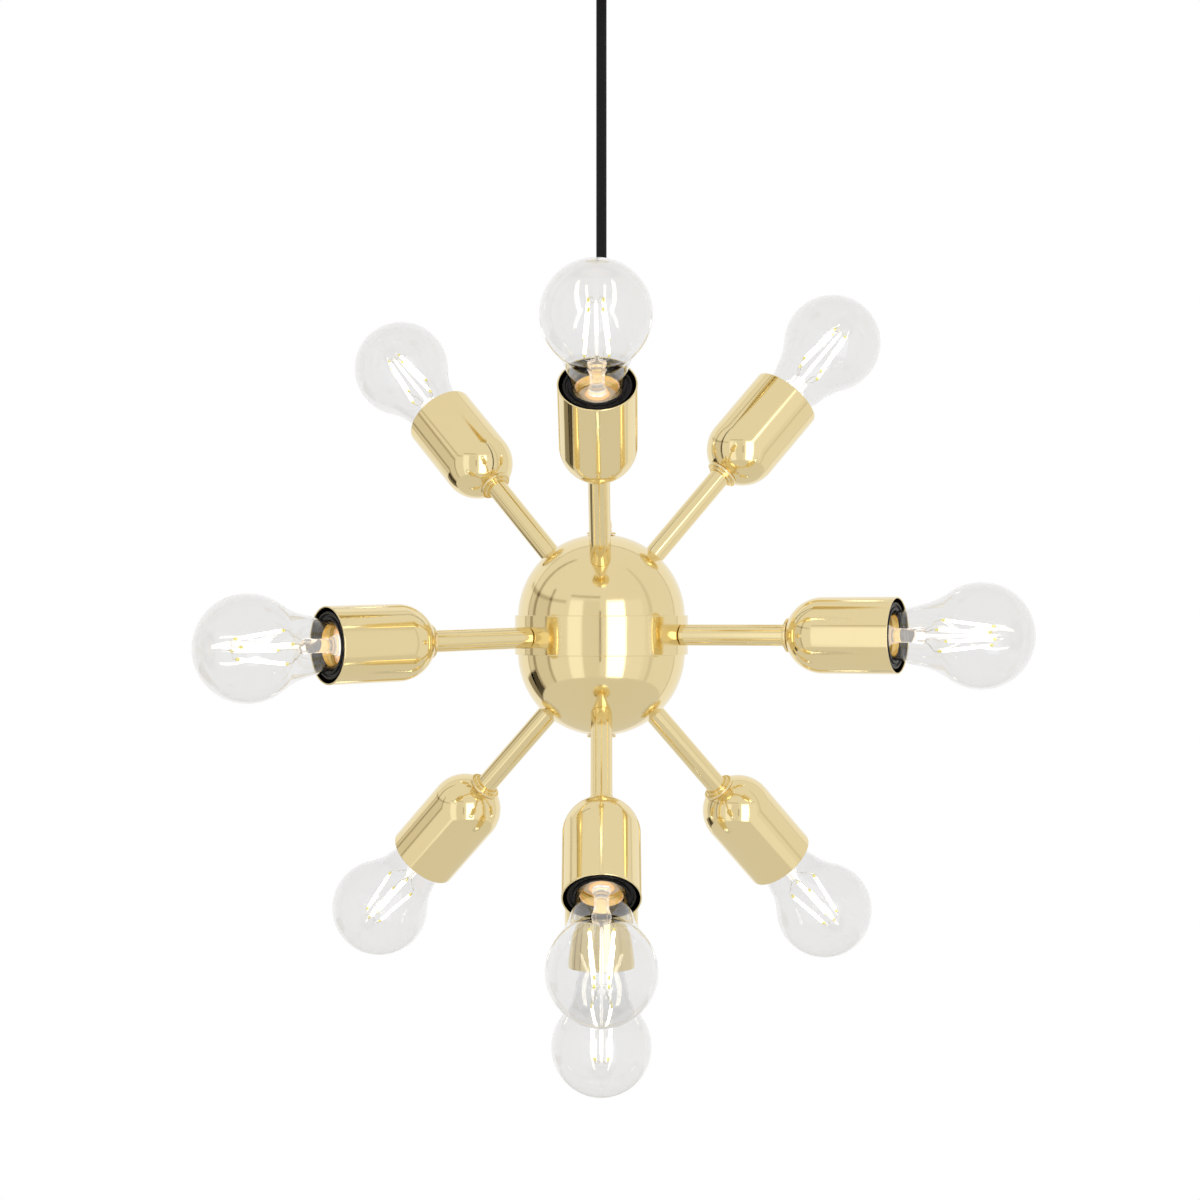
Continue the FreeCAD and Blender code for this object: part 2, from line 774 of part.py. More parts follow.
def make_ceiling_bush():
    """The flanged bush in the ceiling cup, with a ball seat and a bell mouth for the cord."""
    neck_r = dim("bush_neck_diameter") / 2
    flange_r = dim("bush_flange_diameter") / 2
    ball_r = CORD_R + dim("cord_clearance")
    top = dim("bush_neck_length") + dim("ceiling_cup_wall") + dim("bush_flange_thickness")
    pivot = dim("bush_pivot_depth")
    wire_r = dim("wire_hole_diameter") / 2
    outline = [
        Corner(dim("bush_mouth_diameter") / 2, 0),
        Corner(neck_r, 0),
        Corner(neck_r, dim("bush_neck_length") + dim("ceiling_cup_wall")),
        Corner(flange_r, dim("bush_neck_length") + dim("ceiling_cup_wall")),
        Corner(flange_r, top),
        Corner(wire_r, top),
        Corner(wire_r, pivot + leg(ball_r, wire_r), ball_r, 1),
        Corner(ball_r, pivot),
    ]
    low = CUP_FLOOR_Z - dim("bush_neck_length").value
    return turned("ceiling_bush", outline, Placement(Vector(0, 0, low), Rotation()))


def make_ceiling_cup():
    """A spun cup, open at the ceiling, with a hole for its bush and one for each side screw."""
    outer_r = dim("ceiling_cup_diameter") / 2
    wall = dim("ceiling_cup_wall")
    corner = dim("ceiling_cup_corner")
    height = dim("ceiling_cup_height")
    hole_r = dim("bush_neck_diameter") / 2 + dim("thread_clearance")
    outline = [
        Corner(hole_r, 0),
        Corner(outer_r - corner, 0, corner, -1),
        Corner(outer_r, corner),
        Corner(outer_r, height),
        Corner(outer_r - wall, height),
        Corner(outer_r - wall, corner, corner - wall, 1),
        Corner(outer_r - corner, wall),
        Corner(hole_r, wall),
    ]
    body = turned("ceiling_cup", outline, Placement(Vector(0, 0, CUP_FLOOR_Z), Rotation()))
    screw_r = dim("side_screw_diameter") / 2 + dim("thread_clearance")
    up = height - dim("side_screw_depth")
    cut_hole(body, "side_screw_holes", "YZ_Plane", size(0), up, screw_r)
    return body


def make_strap():
    """The steel strap on the ceiling: a flat bar with slots and two tabs for the side screws."""
    half_width = dim("strap_width") / 2
    room = dim("ceiling_cup_diameter") / 2 - dim("ceiling_cup_wall")
    half = leg(room, half_width) - dim("strap_clearance")
    thick = dim("strap_thickness")
    tab = dim("strap_tab_height")
    # The outline stands on its head: the ceiling side is along 0 and the tabs go up.
    corners = [
        Corner(0, 0),
        Corner(half, 0),
        Corner(half, tab),
        Corner(half - thick, tab),
        Corner(half - thick, thick),
        Corner(0, thick),
    ]
    place = Placement(Vector(0, 0, 0), Rotation(Vector(1, 0, 0), 180))
    body, sketch = sketched_body("ceiling_strap", corners, "XZ_Plane", place)
    pad = body.newObject("PartDesign::Pad", "strap_bar")
    pad.Profile = sketch
    pad.Midplane = True
    pad.setExpression("Length", dim("strap_width").text)
    mirror = body.newObject("PartDesign::Mirrored", "strap_other_half")
    mirror.Originals = [pad]
    mirror.MirrorPlane = (origin_plane(body, "YZ_Plane"), [""])
    body.Tip = mirror
    doc.recompute()
    screw_r = dim("side_screw_diameter") / 2 + dim("thread_clearance")
    cut_hole(body, "strap_thread_holes", "YZ_Plane", size(0), dim("side_screw_depth"), screw_r)
    middle = dim("strap_hole_spacing") / 2
    slot_r = dim("strap_slot_width") / 2
    half_run = dim("strap_slot_length") / 2 - slot_r
    slots = body.newObject("Sketcher::SketchObject", "strap_slots_outline")
    slots.AttachmentSupport = [(origin_plane(body, "XY_Plane"), "")]
    slots.MapMode = "FlatFace"
    for side in (-1, 1):
        near = (middle - half_run) * side
        far = (middle + half_run) * side
        draw(slots, ring(near, far, slot_r * -1, slot_r))
    pocket = body.newObject("PartDesign::Pocket", "strap_slots")
    pocket.Profile = slots
    pocket.Type = "ThroughAll"
    pocket.Midplane = True
    slots.Visibility = False
    for number, across in enumerate((middle - half_run, middle + half_run)):
        for side in (-1, 1):
            label = "slot_end_" + str(number * side + 2)
            cut_hole(body, label, "XY_Plane", across * side, size(0), slot_r)
    return body


def make_side_screws():
    """The two round-headed screws that hold the ceiling cup on its strap."""
    shank_r = dim("side_screw_diameter") / 2
    head_r = dim("side_screw_head_diameter") / 2
    head = dim("side_screw_head_height")
    length = dim("side_screw_length")
    outline = [
        Corner(0, 0),
        Corner(shank_r, 0),
        Corner(shank_r, length),
        Corner(head_r, length),
        Corner(head_r, length + head / 2),
        Corner(shank_r, length + head),
        Corner(0, length + head),
    ]
    seat = dim("ceiling_cup_diameter").value / 2
    screws = []
    for side, turn in ((-1, -90), (1, 90)):
        at = Vector(side * (seat - length.value), 0, -dim("side_screw_depth").value)
        place = Placement(at, Rotation(Vector(0, 1, 0), turn))
        screws.append(turned("side_screw_" + str(turn + 90), outline, place))
    return group("side_screws", screws)


def make_terminal_block():
    """The terminal block under the strap: a moulded bar with a wire hole for each pole."""
    half_length = dim("terminal_length") / 2
    height = dim("terminal_height")
    corners = ring(half_length * -1, half_length, 0, height)
    lift = -(dim("strap_thickness") + height).value
    place = Placement(Vector(0, 0, lift), Rotation())
    body, sketch = sketched_body("terminal_block", corners, "XZ_Plane", place)
    pad = body.newObject("PartDesign::Pad", "terminal_bar")
    pad.Profile = sketch
    pad.Midplane = True
    pad.setExpression("Length", dim("terminal_width").text)
    poles = int(dim("terminal_poles").value)
    pitch = dim("terminal_length") / dim("terminal_poles")
    for pole in range(poles):
        across = pitch * (pole - (poles - 1) / 2)
        radius = dim("terminal_hole_diameter") / 2
        cut_hole(body, "wire_way_" + str(pole + 1), "XZ_Plane", across, height / 2, radius)
    return body


# ---------------------------------------------------------------- the whole pendant
nodes = []
tubes = []
collars = []
contacts = []
holders = {UPPER: [], MIDDLE: [], LOWER: [], DOWN: []}
for light, tier, azimuth, elevation in LIGHTS:
    spot = PLACES[light]
    tubes.append(make_arm_tube(light, tier, spot))
    collars.append(make_collar(light, spot))
    holders[tier].append(make_lampholder(light, spot))
    contacts.extend(make_contacts(light, spot))
    nodes.append(make_cup(light, spot))
    nodes.append(make_bulb_cap(light, spot))
    nodes.append(make_bulb_glass(light, spot))
    nodes.append(make_filaments(light, spot))
nodes.append(group("arm_tubes", tubes))
nodes.append(group("arm_collars", collars + [make_base_washer()]))
nodes.append(group("lampholder_contacts", contacts))
for tier, pieces in holders.items():
    nodes.append(group("lampholders_" + tier, pieces))
nodes.extend(make_arm_fastenings())
nodes.append(make_hub_shell("hub_upper_shell", UPPER, hub_place(False)))
nodes.append(make_hub_shell("hub_lower_shell", LOWER, hub_place(True)))
nodes.append(make_hub_band())
nodes.append(make_tie_rod())
nodes.append(make_cord_grip())
nodes.append(make_cord())
nodes.append(make_ceiling_bush())
nodes.append(make_ceiling_cup())
nodes.append(make_strap())
nodes.append(make_side_screws())
nodes.append(make_terminal_block())
doc.recompute()


def check_and_write():
    """Writes every node's solids, once nothing in the document has failed."""
    for item in doc.Objects:
        if "Invalid" in item.State or "Error" in item.State:
            raise RuntimeError("failed: " + item.Name + " " + str(item.State))
    for node in nodes:
        if node.Shape.isNull() or not node.Shape.isValid() or not node.Shape.Solids:
            raise RuntimeError("no valid solid: " + node.Label)
    os.makedirs("parts", exist_ok=True)
    for node in nodes:
        node.Shape.exportStep("parts/" + node.Label + ".step")
    print(len(nodes), "nodes written")


check_and_write()
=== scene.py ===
"""Studio scene of the sputnik pendant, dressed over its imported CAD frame. Metres, +Z up."""
import math

import bmesh
import bpy
from mathutils import Matrix, Vector


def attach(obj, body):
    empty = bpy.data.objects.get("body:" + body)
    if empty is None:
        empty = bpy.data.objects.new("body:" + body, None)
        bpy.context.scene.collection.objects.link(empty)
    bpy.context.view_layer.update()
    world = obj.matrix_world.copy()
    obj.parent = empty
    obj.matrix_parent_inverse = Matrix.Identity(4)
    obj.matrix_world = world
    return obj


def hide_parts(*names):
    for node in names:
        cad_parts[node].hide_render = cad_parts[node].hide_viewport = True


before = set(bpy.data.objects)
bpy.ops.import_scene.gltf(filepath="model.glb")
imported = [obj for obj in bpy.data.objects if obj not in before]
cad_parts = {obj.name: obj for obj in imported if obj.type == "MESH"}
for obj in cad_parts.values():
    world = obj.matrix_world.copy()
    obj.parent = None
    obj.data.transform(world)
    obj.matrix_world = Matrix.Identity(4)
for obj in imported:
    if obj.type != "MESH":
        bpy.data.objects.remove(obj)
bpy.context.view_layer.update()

MM = 0.001

# ---------------------------------------------------------------- sizes, as in the CAD source (mm)
HUB_Z = -422.0
HUB_R = 50.0
HUB_WALL = 1.2
SPREAD = 10.25
BAND_R = 51.8
BAND_INNER_R = 47.0
HALF_BAND = 11.75
HOLE_R = 5.1
ARM_R = 6.25
ARM_INNER_R = 5.15
ARM_END = 116.5
POLE = 119.5
RIM = 184.0
CUP_R = 22.0
CUP_WALL = 0.9
CUP_FLAT_R = 9.2
SEAT = 154.0
CAP_TOP = 181.0
CAP_R = 13.2
GLOBE = 232.0
GLOBE_R = 30.0
WALL = 0.7
NECK_R = 12.6
COLLAR_R = 13.4
TAPER = 0.24
NECK_FILLET = 50.0
ON_SHELL = math.sqrt(HUB_R ** 2 - ARM_INNER_R ** 2)
WASHER_Z = math.sqrt(HUB_R ** 2 - HOLE_R ** 2)
WASHER_R = 8.75
WASHER = 1.2
DOWN_EXTRA = 3.3
DOWN_SHIFT = WASHER_Z + WASHER - (ON_SHELL - DOWN_EXTRA)
BAND_GAP = 0.15
HOLDER_RECESS = 1.2
CORD_R = 3.1
CORD_IN_GRIP = 5.3
PIVOT_Z = -29.0
CORD_LOW = HUB_Z + SPREAD + WASHER_Z + CORD_IN_GRIP
CORD_HIGH = PIVOT_Z + CORD_R
CEILING_CUP_Z = -25.0
BUSH_Z = -34.0
SCREW_X = 42.0
SCREW_Z = -9.0

LIGHTS = [
    ("upper_front", "upper", -1.0, 44.0),
    ("upper_left", "upper", -130.0, 43.5),
    ("upper_right", "upper", 113.0, 47.5),
    ("middle_left", "middle", -56.0, -1.4),
    ("middle_right", "middle", 66.0, 0.2),
    ("middle_back", "middle", 180.0, 0.0),
    ("lower_front", "lower", 0.0, -45.6),
    ("lower_left", "lower", -121.0, -45.0),
    ("lower_right", "lower", 120.0, -45.4),
    ("down", "down", 0.0, -90.0),
]
STARTS = {
    "upper": ON_SHELL,
    "middle": BAND_R + BAND_GAP,
    "lower": ON_SHELL,
    "down": ON_SHELL - DOWN_EXTRA,
}

# ---------------------------------------------------------------- camera
camera_data = bpy.data.cameras.new("camera")
camera_data.lens = 70.07
camera_data.sensor_width = 36.0
camera_data.clip_start = 0.05
camera = bpy.data.objects.new("camera", camera_data)
camera.location = (-0.00084, -1.3985, -0.4012)
camera.rotation_euler = (math.radians(90), 0, 0)
bpy.context.collection.objects.link(camera)
bpy.context.scene.camera = camera


# ---------------------------------------------------------------- mesh tools
GUARD = 0.25  # mm from a fillet to the point that keeps the side beside it flat
TINY = 1e-6


def rounded(corners, steps=4):
    """Points of an outline whose corners (radius, height, fillet) are rounded off.

    A guard point beside each end of a fillet keeps the straight sides flat when shaded smooth.
    """
    points = []
    count = len(corners)
    for index, corner in enumerate(corners):
        here = Vector(corner[:2])
        fillet = corner[2] if len(corner) > 2 else 0.0
        before = Vector(corners[index - 1][:2]) - here
        after = Vector(corners[(index + 1) % count][:2]) - here
        if not fillet or before.length < TINY or after.length < TINY:
            points.append(tuple(here))
            continue
        half = before.angle(after) / 2
        reach = fillet / math.tan(half)
        start = here + before.normalized() * reach
        end = here + after.normalized() * reach
        middle = here + (before.normalized() + after.normalized()).normalized() * (
            fillet / math.sin(half)
        )
        first = math.atan2(start.y - middle.y, start.x - middle.x)
        turn = math.atan2(end.y - middle.y, end.x - middle.x) - first
        turn = (turn + math.pi) % (2 * math.pi) - math.pi
        points.append(tuple(start + before.normalized() * min(GUARD, (before.length - reach) / 3)))
        for step in range(steps + 1):
            angle = first + turn * step / steps
            points.append(
                (middle.x + fillet * math.cos(angle), middle.y + fillet * math.sin(angle))
            )
        points.append(tuple(end + after.normalized() * min(GUARD, (after.length - reach) / 3)))
    return points


def arc(across, along, radius, first, last, steps):
    """Points on a round edge, from one angle to another in degrees."""
    points = []
    for step in range(steps + 1):
        angle = math.radians(first + (last - first) * step / steps)
        points.append((across + radius * math.cos(angle), along + radius * math.sin(angle)))
    return points


class Solid:
    """Vertices and faces in mm, with a material number for each face."""

    def __init__(self):
        self.points = []
        self.faces = []
        self.slots = []

    def grid(self, rows, closed_rows, slot=0):
        """Joins rows of points, each a closed ring, into quads. A row of one point is a tip."""
        starts = []
        for row in rows:
            starts.append(len(self.points))
            self.points.extend(row)
        pairs = list(zip(range(len(rows) - 1), range(1, len(rows))))
        if closed_rows:
            pairs.append((len(rows) - 1, 0))
        for low, high in pairs:
            self.strip(rows, starts, low, high, slot)

    def strip(self, rows, starts, low, high, slot):
        count = max(len(rows[low]), len(rows[high]))
        for step in range(count):
            following = (step + 1) % count
            a = starts[low] + (step if len(rows[low]) > 1 else 0)
            b = starts[low] + (following if len(rows[low]) > 1 else 0)
            c = starts[high] + (following if len(rows[high]) > 1 else 0)
            d = starts[high] + (step if len(rows[high]) > 1 else 0)
            face = tuple(dict.fromkeys((a, b, c, d)))
            if len(face) > 2:
                self.faces.append(face)
                self.slots.append(slot)

    def lathe(self, outline, segments=96, slot=0, closed=True, place=None):
        """Turns an outline of (radius, height) about Z."""
        rows = []
        for radius, height in outline:
            if radius < TINY:
                rows.append([(0.0, 0.0, height)])
                continue
            ring = []
            for step in range(segments):
                angle = 2 * math.pi * step / segments
                ring.append((radius * math.cos(angle), radius * math.sin(angle), height))
            rows.append(ring)
        if place is not None:
            rows = [[tuple(place @ Vector(point)) for point in row] for row in rows]
        self.grid(rows, closed, slot)

    def tube(self, path, radius, segments=10, slot=0, flat=1.0):
        """A wire along a path of points, with closed ends."""
        path = [Vector(point) for point in path]
        rows = [[tuple(path[0])]]
        side = None
        for index, point in enumerate(path):
            ahead = path[min(index + 1, len(path) - 1)] - path[max(index - 1, 0)]
            ahead.normalize()
            if side is None:
                side = ahead.orthogonal()
            side = (side - ahead * side.dot(ahead)).normalized()
            other = ahead.cross(side)
            ring = []
            for step in range(segments):
                angle = 2 * math.pi * step / segments
                offset = side * (radius * math.cos(angle))
                offset = offset + other * (radius * flat * math.sin(angle))
                ring.append(tuple(point + offset))
            rows.append(ring)
        rows.append([tuple(path[-1])])
        self.grid(rows, False, slot)

    def mesh(self, name, materials, sharp=40):
        data = bpy.data.meshes.new(name)
        scaled = [(x * MM, y * MM, z * MM) for x, y, z in self.points]
        data.from_pydata(scaled, [], self.faces)
        for material in materials:
            data.materials.append(material)
        data.polygons.foreach_set("material_index", self.slots)
        data.polygons.foreach_set("use_smooth", [True] * len(self.faces))
        data.update()
        data.validate()
        data.set_sharp_from_angle(angle=math.radians(sharp))
        return data


def outward(mesh, weld=0.0):
    """Turns every face to look away from the solid, after joining skins that share an edge."""
    work = bmesh.new()
    work.from_mesh(mesh)
    if weld:
        bmesh.ops.remove_doubles(work, verts=work.verts, dist=weld)
    bmesh.ops.recalc_face_normals(work, faces=work.faces)
    work.to_mesh(mesh)
    work.free()
    return mesh


def place_piece(name, mesh, matrix, body, nodes):
    piece = bpy.data.objects.new(name, mesh)
    bpy.context.collection.objects.link(piece)
    piece.matrix_world = matrix
    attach(piece, body)
    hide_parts(*nodes)
    return piece


def light_matrix(tier, azimuth, elevation):
    """The frame of a light: +Z runs out along its arm from the middle of the shell it is on."""
    turn = math.radians(azimuth)
    rise = math.radians(elevation)
    way = Vector(
        (math.cos(rise) * math.sin(turn), -math.cos(rise) * math.cos(turn), math.sin(rise))
    )
    heights = {"upper": SPREAD, "middle": 0.0, "lower": -SPREAD, "down": -SPREAD}
    start = Vector((0, 0, HUB_Z + heights[tier]))
    if tier == "down":
        start = start + way * DOWN_SHIFT
        return Matrix.Translation(start * MM) @ Matrix.Rotation(math.pi, 4, "X")
    turned = Vector((0, 0, 1)).rotation_difference(way).to_matrix().to_4x4()
    return Matrix.Translation(start * MM) @ turned


# ---------------------------------------------------------------- cord
def make_cord():
    """The cord runs straight up, a round tube along its own line."""
    data = bpy.data.curves.new("cord_line", "CURVE")
    data.dimensions = "3D"
    spline = data.splines.new("NURBS")
    heights = (CORD_LOW, (CORD_LOW + CORD_HIGH) / 2, CORD_HIGH)
    spline.points.add(len(heights) - 1)
    for point, height in zip(spline.points, heights):
        point.co = (0, 0, height * MM, 1)
    spline.order_u = 3
    spline.use_endpoint_u = True
    spline.resolution_u = 24
    line = bpy.data.objects.new("cord_line", data)
    path = [vertex.co.copy() for vertex in bpy.data.meshes.new_from_object(line).vertices]
    bpy.data.objects.remove(line)
    solid = Solid()
    solid.tube([point / MM for point in path], CORD_R, 32)
    mesh = outward(solid.mesh("textile_cord", []))
    cord = place_piece(
        "textile_cord", mesh, Matrix.Identity(4), "cord", ["pendant_cord"]
    )
    cord.visible_transmission = False
    return cord


CORD = make_cord()


# ---------------------------------------------------------------- materials
class Nodes:
    """A node tree, with short ways to add and join nodes."""

    def __init__(self, tree):
        self.tree = tree

    def add(self, kind, **settings):
        node = self.tree.nodes.new(kind)
        for key, value in settings.items():
            setattr(node, key, value)
        return node

    def join(self, source, target):
        self.tree.links.new(source, target)

    def math(self, operation, *values):
        node = self.add("ShaderNodeMath", operation=operation)
        for socket, value in zip(node.inputs, values):
            if isinstance(value, (int, float)):
                socket.default_value = value
            else:
                self.join(value, socket)
        return node.outputs["Value"]


class Shader(Nodes):
    """A material and the ways to give its surface colour, wear and relief."""

    def __init__(self, name):
        self.material = bpy.data.materials.new(name)
        self.material.use_nodes = True
        super().__init__(self.material.node_tree)
        self.surface = self.tree.nodes["Principled BSDF"]
        self.output = self.tree.nodes["Material Output"]

    def coords(self):
        return self.add("ShaderNodeTexCoord").outputs["Object"]

    def noise(self, scale, detail=3.0, rough=0.55, vector=None):
        node = self.add("ShaderNodeTexNoise")
        node.inputs["Scale"].default_value = scale
        node.inputs["Detail"].default_value = detail
        node.inputs["Roughness"].default_value = rough
        self.join(vector or self.coords(), node.inputs["Vector"])
        return node.outputs["Fac"]

    def stretched(self, scale):
        node = self.add("ShaderNodeMapping")
        node.inputs["Scale"].default_value = scale
        self.join(self.coords(), node.inputs["Vector"])
        return node.outputs["Vector"]

    def spread(self, value, low, high, start=0.0, end=1.0):
        node = self.add("ShaderNodeMapRange")
        node.inputs["From Min"].default_value = start
        node.inputs["From Max"].default_value = end
        node.inputs["To Min"].default_value = low
        node.inputs["To Max"].default_value = high
        self.join(value, node.inputs["Value"])
        return node.outputs["Result"]

    def blend(self, value, low, high):
        node = self.add("ShaderNodeMix", data_type="RGBA")
        node.inputs["A"].default_value = (*low, 1)
        node.inputs["B"].default_value = (*high, 1)
        self.join(value, node.inputs["Factor"])
        return node.outputs["Result"]

    def bump(self, height, strength, distance):
        node = self.add("ShaderNodeBump")
        node.inputs["Strength"].default_value = strength
        node.inputs["Distance"].default_value = distance
        self.join(height, node.inputs["Height"])
        self.join(node.outputs["Normal"], self.surface.inputs["Normal"])

    def set(self, **values):
        for key, value in values.items():
            name = key.replace("_", " ")
            if isinstance(value, tuple):
                value = (*value, 1)
            self.surface.inputs[name].default_value = value


def brass_material(name, light, dark, smooth, rough):
    """Lacquered polished brass: faint spun lines round its axis, soft clouding and wiped smears."""
    shader = Shader(name)
    shader.set(Metallic=1.0)
    cloud = shader.noise(28, 4)
    shader.join(shader.blend(cloud, light, dark), shader.surface.inputs["Base Color"])
    smears = shader.noise(1, 5, 0.6, shader.stretched((260, 260, 40)))
    shader.join(shader.spread(smears, smooth, rough, 0.3, 0.75), shader.surface.inputs["Roughness"])
    spun = shader.noise(1, 2, 0.5, shader.stretched((25, 25, 2600)))
    shader.bump(spun, 0.035, 0.0002)
    return shader.material


def metal_material(name, light, dark, smooth, rough, thread=0.0, lit=0.0):
    """Plain plated metal with fine grain, and thread ridges along Z where it is a screw. lit is a
    painted amber glow: emission that stands in for light falling on the metal.
    """
    shader = Shader(name)
    shader.set(Metallic=1.0, Emission_Color=(1.0, 0.62, 0.13), Emission_Strength=lit)
    grain = shader.noise(420, 3)
    shader.join(shader.blend(grain, light, dark), shader.surface.inputs["Base Color"])
    shader.join(shader.spread(grain, smooth, rough), shader.surface.inputs["Roughness"])
    if thread:
        axes = shader.add("ShaderNodeSeparateXYZ")
        shader.join(shader.coords(), axes.inputs["Vector"])
        turns = shader.math("MULTIPLY", axes.outputs["Z"], 2 * math.pi / (thread * MM))
        shader.bump(shader.math("SINE", turns), 0.5, 0.0003)
    else:
        shader.bump(grain, 0.08, 0.0002)
    return shader.material


def plastic_material(name, light, dark, smooth, rough, shine=0.5):
    """Moulded plastic: near even colour, slight orange peel and cloudy gloss."""
    shader = Shader(name)
    cloud = shader.noise(60, 4)
    shader.join(shader.blend(cloud, light, dark), shader.surface.inputs["Base Color"])
    shader.join(shader.spread(cloud, smooth, rough), shader.surface.inputs["Roughness"])
    shader.bump(shader.noise(900, 2), 0.05, 0.0002)
    shader.set(Specular_IOR_Level=shine)
    return shader.material


def glass_material(name, tint, bend, lit=0.0):
    """Clear blown glass with the faintest wave in its skin. lit is a painted glow: emission that
    stands in for the strips' light in the stem's glass.
    """
    shader = Shader(name)
    shader.set(Base_Color=tint, Roughness=0.0, IOR=bend, Transmission_Weight=1.0)
    shader.set(Emission_Color=(1.0, 0.97, 0.93), Emission_Strength=lit)
    shader.bump(shader.noise(45, 2), 0.03, 0.0004)
    return shader.material


def textile_material(name):
    """Black braided yarn: two sets of strands that cross, with fuzz and a dull sheen. Its colour is
    painted shade: darker in the grooves between strands, lighter on their crests.
    """
    shader = Shader(name)
    axes = shader.add("ShaderNodeSeparateXYZ")
    shader.join(shader.coords(), axes.inputs["Vector"])
    turn = shader.math("ARCTAN2", axes.outputs["Y"], axes.outputs["X"])
    turn = shader.math("MULTIPLY", turn, 12.0)
    rise = shader.math("MULTIPLY", axes.outputs["Z"], 2 * math.pi / 0.0022)
    one = shader.math("SINE", shader.math("ADD", turn, rise))
    two = shader.math("SINE", shader.math("SUBTRACT", turn, rise))
    weave = shader.math("MAXIMUM", one, two)
    fuzz = shader.noise(2600, 3)
    height = shader.math("ADD", weave, shader.math("MULTIPLY", fuzz, 0.8))
    # Painted shade: colour follows the weave height, dark in the grooves between strands, with fuzz
    # tone mixed in.
    groove_shade_and_fuzz = shader.spread(height, 0, 1, -1, 2)
    colour = shader.blend(groove_shade_and_fuzz, (0.003, 0.003, 0.0033), (0.019, 0.0185, 0.019))
    shader.join(colour, shader.surface.inputs["Base Color"])
    shader.bump(height, 0.6, 0.0003)
    shader.set(Roughness=0.85, Specular_IOR_Level=0.2)
    shader.set(Sheen_Weight=0.04, Sheen_Roughness=0.45, Sheen_Tint=(0.7, 0.68, 0.68))
    return shader.material


def glow_material(name, glow, strength, skin):
    """A lit phosphor coat, speckled where the coat is thin."""
    shader = Shader(name)
    speckle = shader.noise(1500, 3)
    shader.join(
        shader.blend(speckle, skin, tuple(c * 0.85 for c in skin)),
        shader.surface.inputs["Base Color"],
    )
    shader.join(
        shader.blend(speckle, glow, tuple(c * 0.92 for c in glow)),
        shader.surface.inputs["Emission Color"],
    )
    shader.set(Emission_Strength=strength, Roughness=0.6)
    return shader.material


BRASS = brass_material("polished_brass", (0.90, 0.765, 0.445), (0.875, 0.73, 0.405), 0.055, 0.12)
BARE_BRASS = metal_material("bare_brass", (0.80, 0.58, 0.26), (0.70, 0.50, 0.22), 0.22, 0.4)
GOLD_CAP = metal_material("gold_cap", (0.97, 0.72, 0.26), (0.92, 0.64, 0.20), 0.26, 0.4)
# The cap's inner wall gets a painted glow: emission standing in for light from the lit strips.
CAP_PAINTED_GLOW = metal_material("cap_inside_painted_glow", (1.0, 0.8, 0.36), (0.9, 0.62, 0.2), 0.16, 0.3, lit=0.3)
STEEL = metal_material("zinc_steel", (0.62, 0.63, 0.65), (0.5, 0.51, 0.53), 0.25, 0.42)
THREADED = metal_material(
    "threaded_steel", (0.62, 0.63, 0.65), (0.5, 0.51, 0.53), 0.25, 0.4, thread=1.0
)
SOLDER = metal_material("solder", (0.6, 0.6, 0.6), (0.45, 0.45, 0.46), 0.3, 0.5)
WIRE = metal_material("support_wire", (0.88, 0.86, 0.8), (0.74, 0.7, 0.62), 0.2, 0.35)
BLACK = plastic_material(
    "black_moulding", (0.006, 0.0055, 0.0055), (0.012, 0.011, 0.011), 0.24, 0.38, 0.16
)
WHITE = plastic_material("white_moulding", (0.78, 0.78, 0.75), (0.72, 0.72, 0.69), 0.4, 0.55)
VITRITE = plastic_material("cap_insulator", (0.015, 0.015, 0.018), (0.03, 0.03, 0.034), 0.1, 0.2)
GLASS = glass_material("clear_glass", (0.905, 0.907, 0.912), 1.46)
# The stem's glass gets a painted glow, emission standing in for light from the strips.
STEM_GLASS_PAINTED_GLOW = glass_material("stem_glass_painted_glow", (0.97, 0.97, 0.97), 1.3, 0.16)
TEXTILE = textile_material("black_textile")
PHOSPHOR = glow_material("lit_filament", (1.0, 0.95, 0.76), 6.0, (0.95, 0.85, 0.45))
PHOSPHOR_END = glow_material("filament_end", (1.0, 0.88, 0.22), 0.75, (0.93, 0.86, 0.3))
CORD.data.materials.append(TEXTILE)


# ---------------------------------------------------------------- the pieces of one light
def tube_mesh(tier):
    solid = Solid()
    start = STARTS[tier]
    outline = [
        (ARM_INNER_R, start),
        (ARM_R, start, 0.45),
        (ARM_R, ARM_END, 0.15),
        (ARM_INNER_R, ARM_END),
    ]
    solid.lathe(rounded(outline, 3), 72)
    return outward(solid.mesh("arm_tube_" + tier, [BRASS]))


def collar_mesh():
    solid = Solid()
    outline = [
        (HOLE_R, ARM_END),
        (8.0, ARM_END, 0.35),
        (8.0, ARM_END + 1.4, 0.12),
        (10.0, ARM_END + 1.4, 0.35),
        (10.0, POLE, 0.2),
        (HOLE_R, POLE),
    ]
    solid.lathe(rounded(outline), 96)
    return outward(solid.mesh("stepped_collar", [BRASS]))


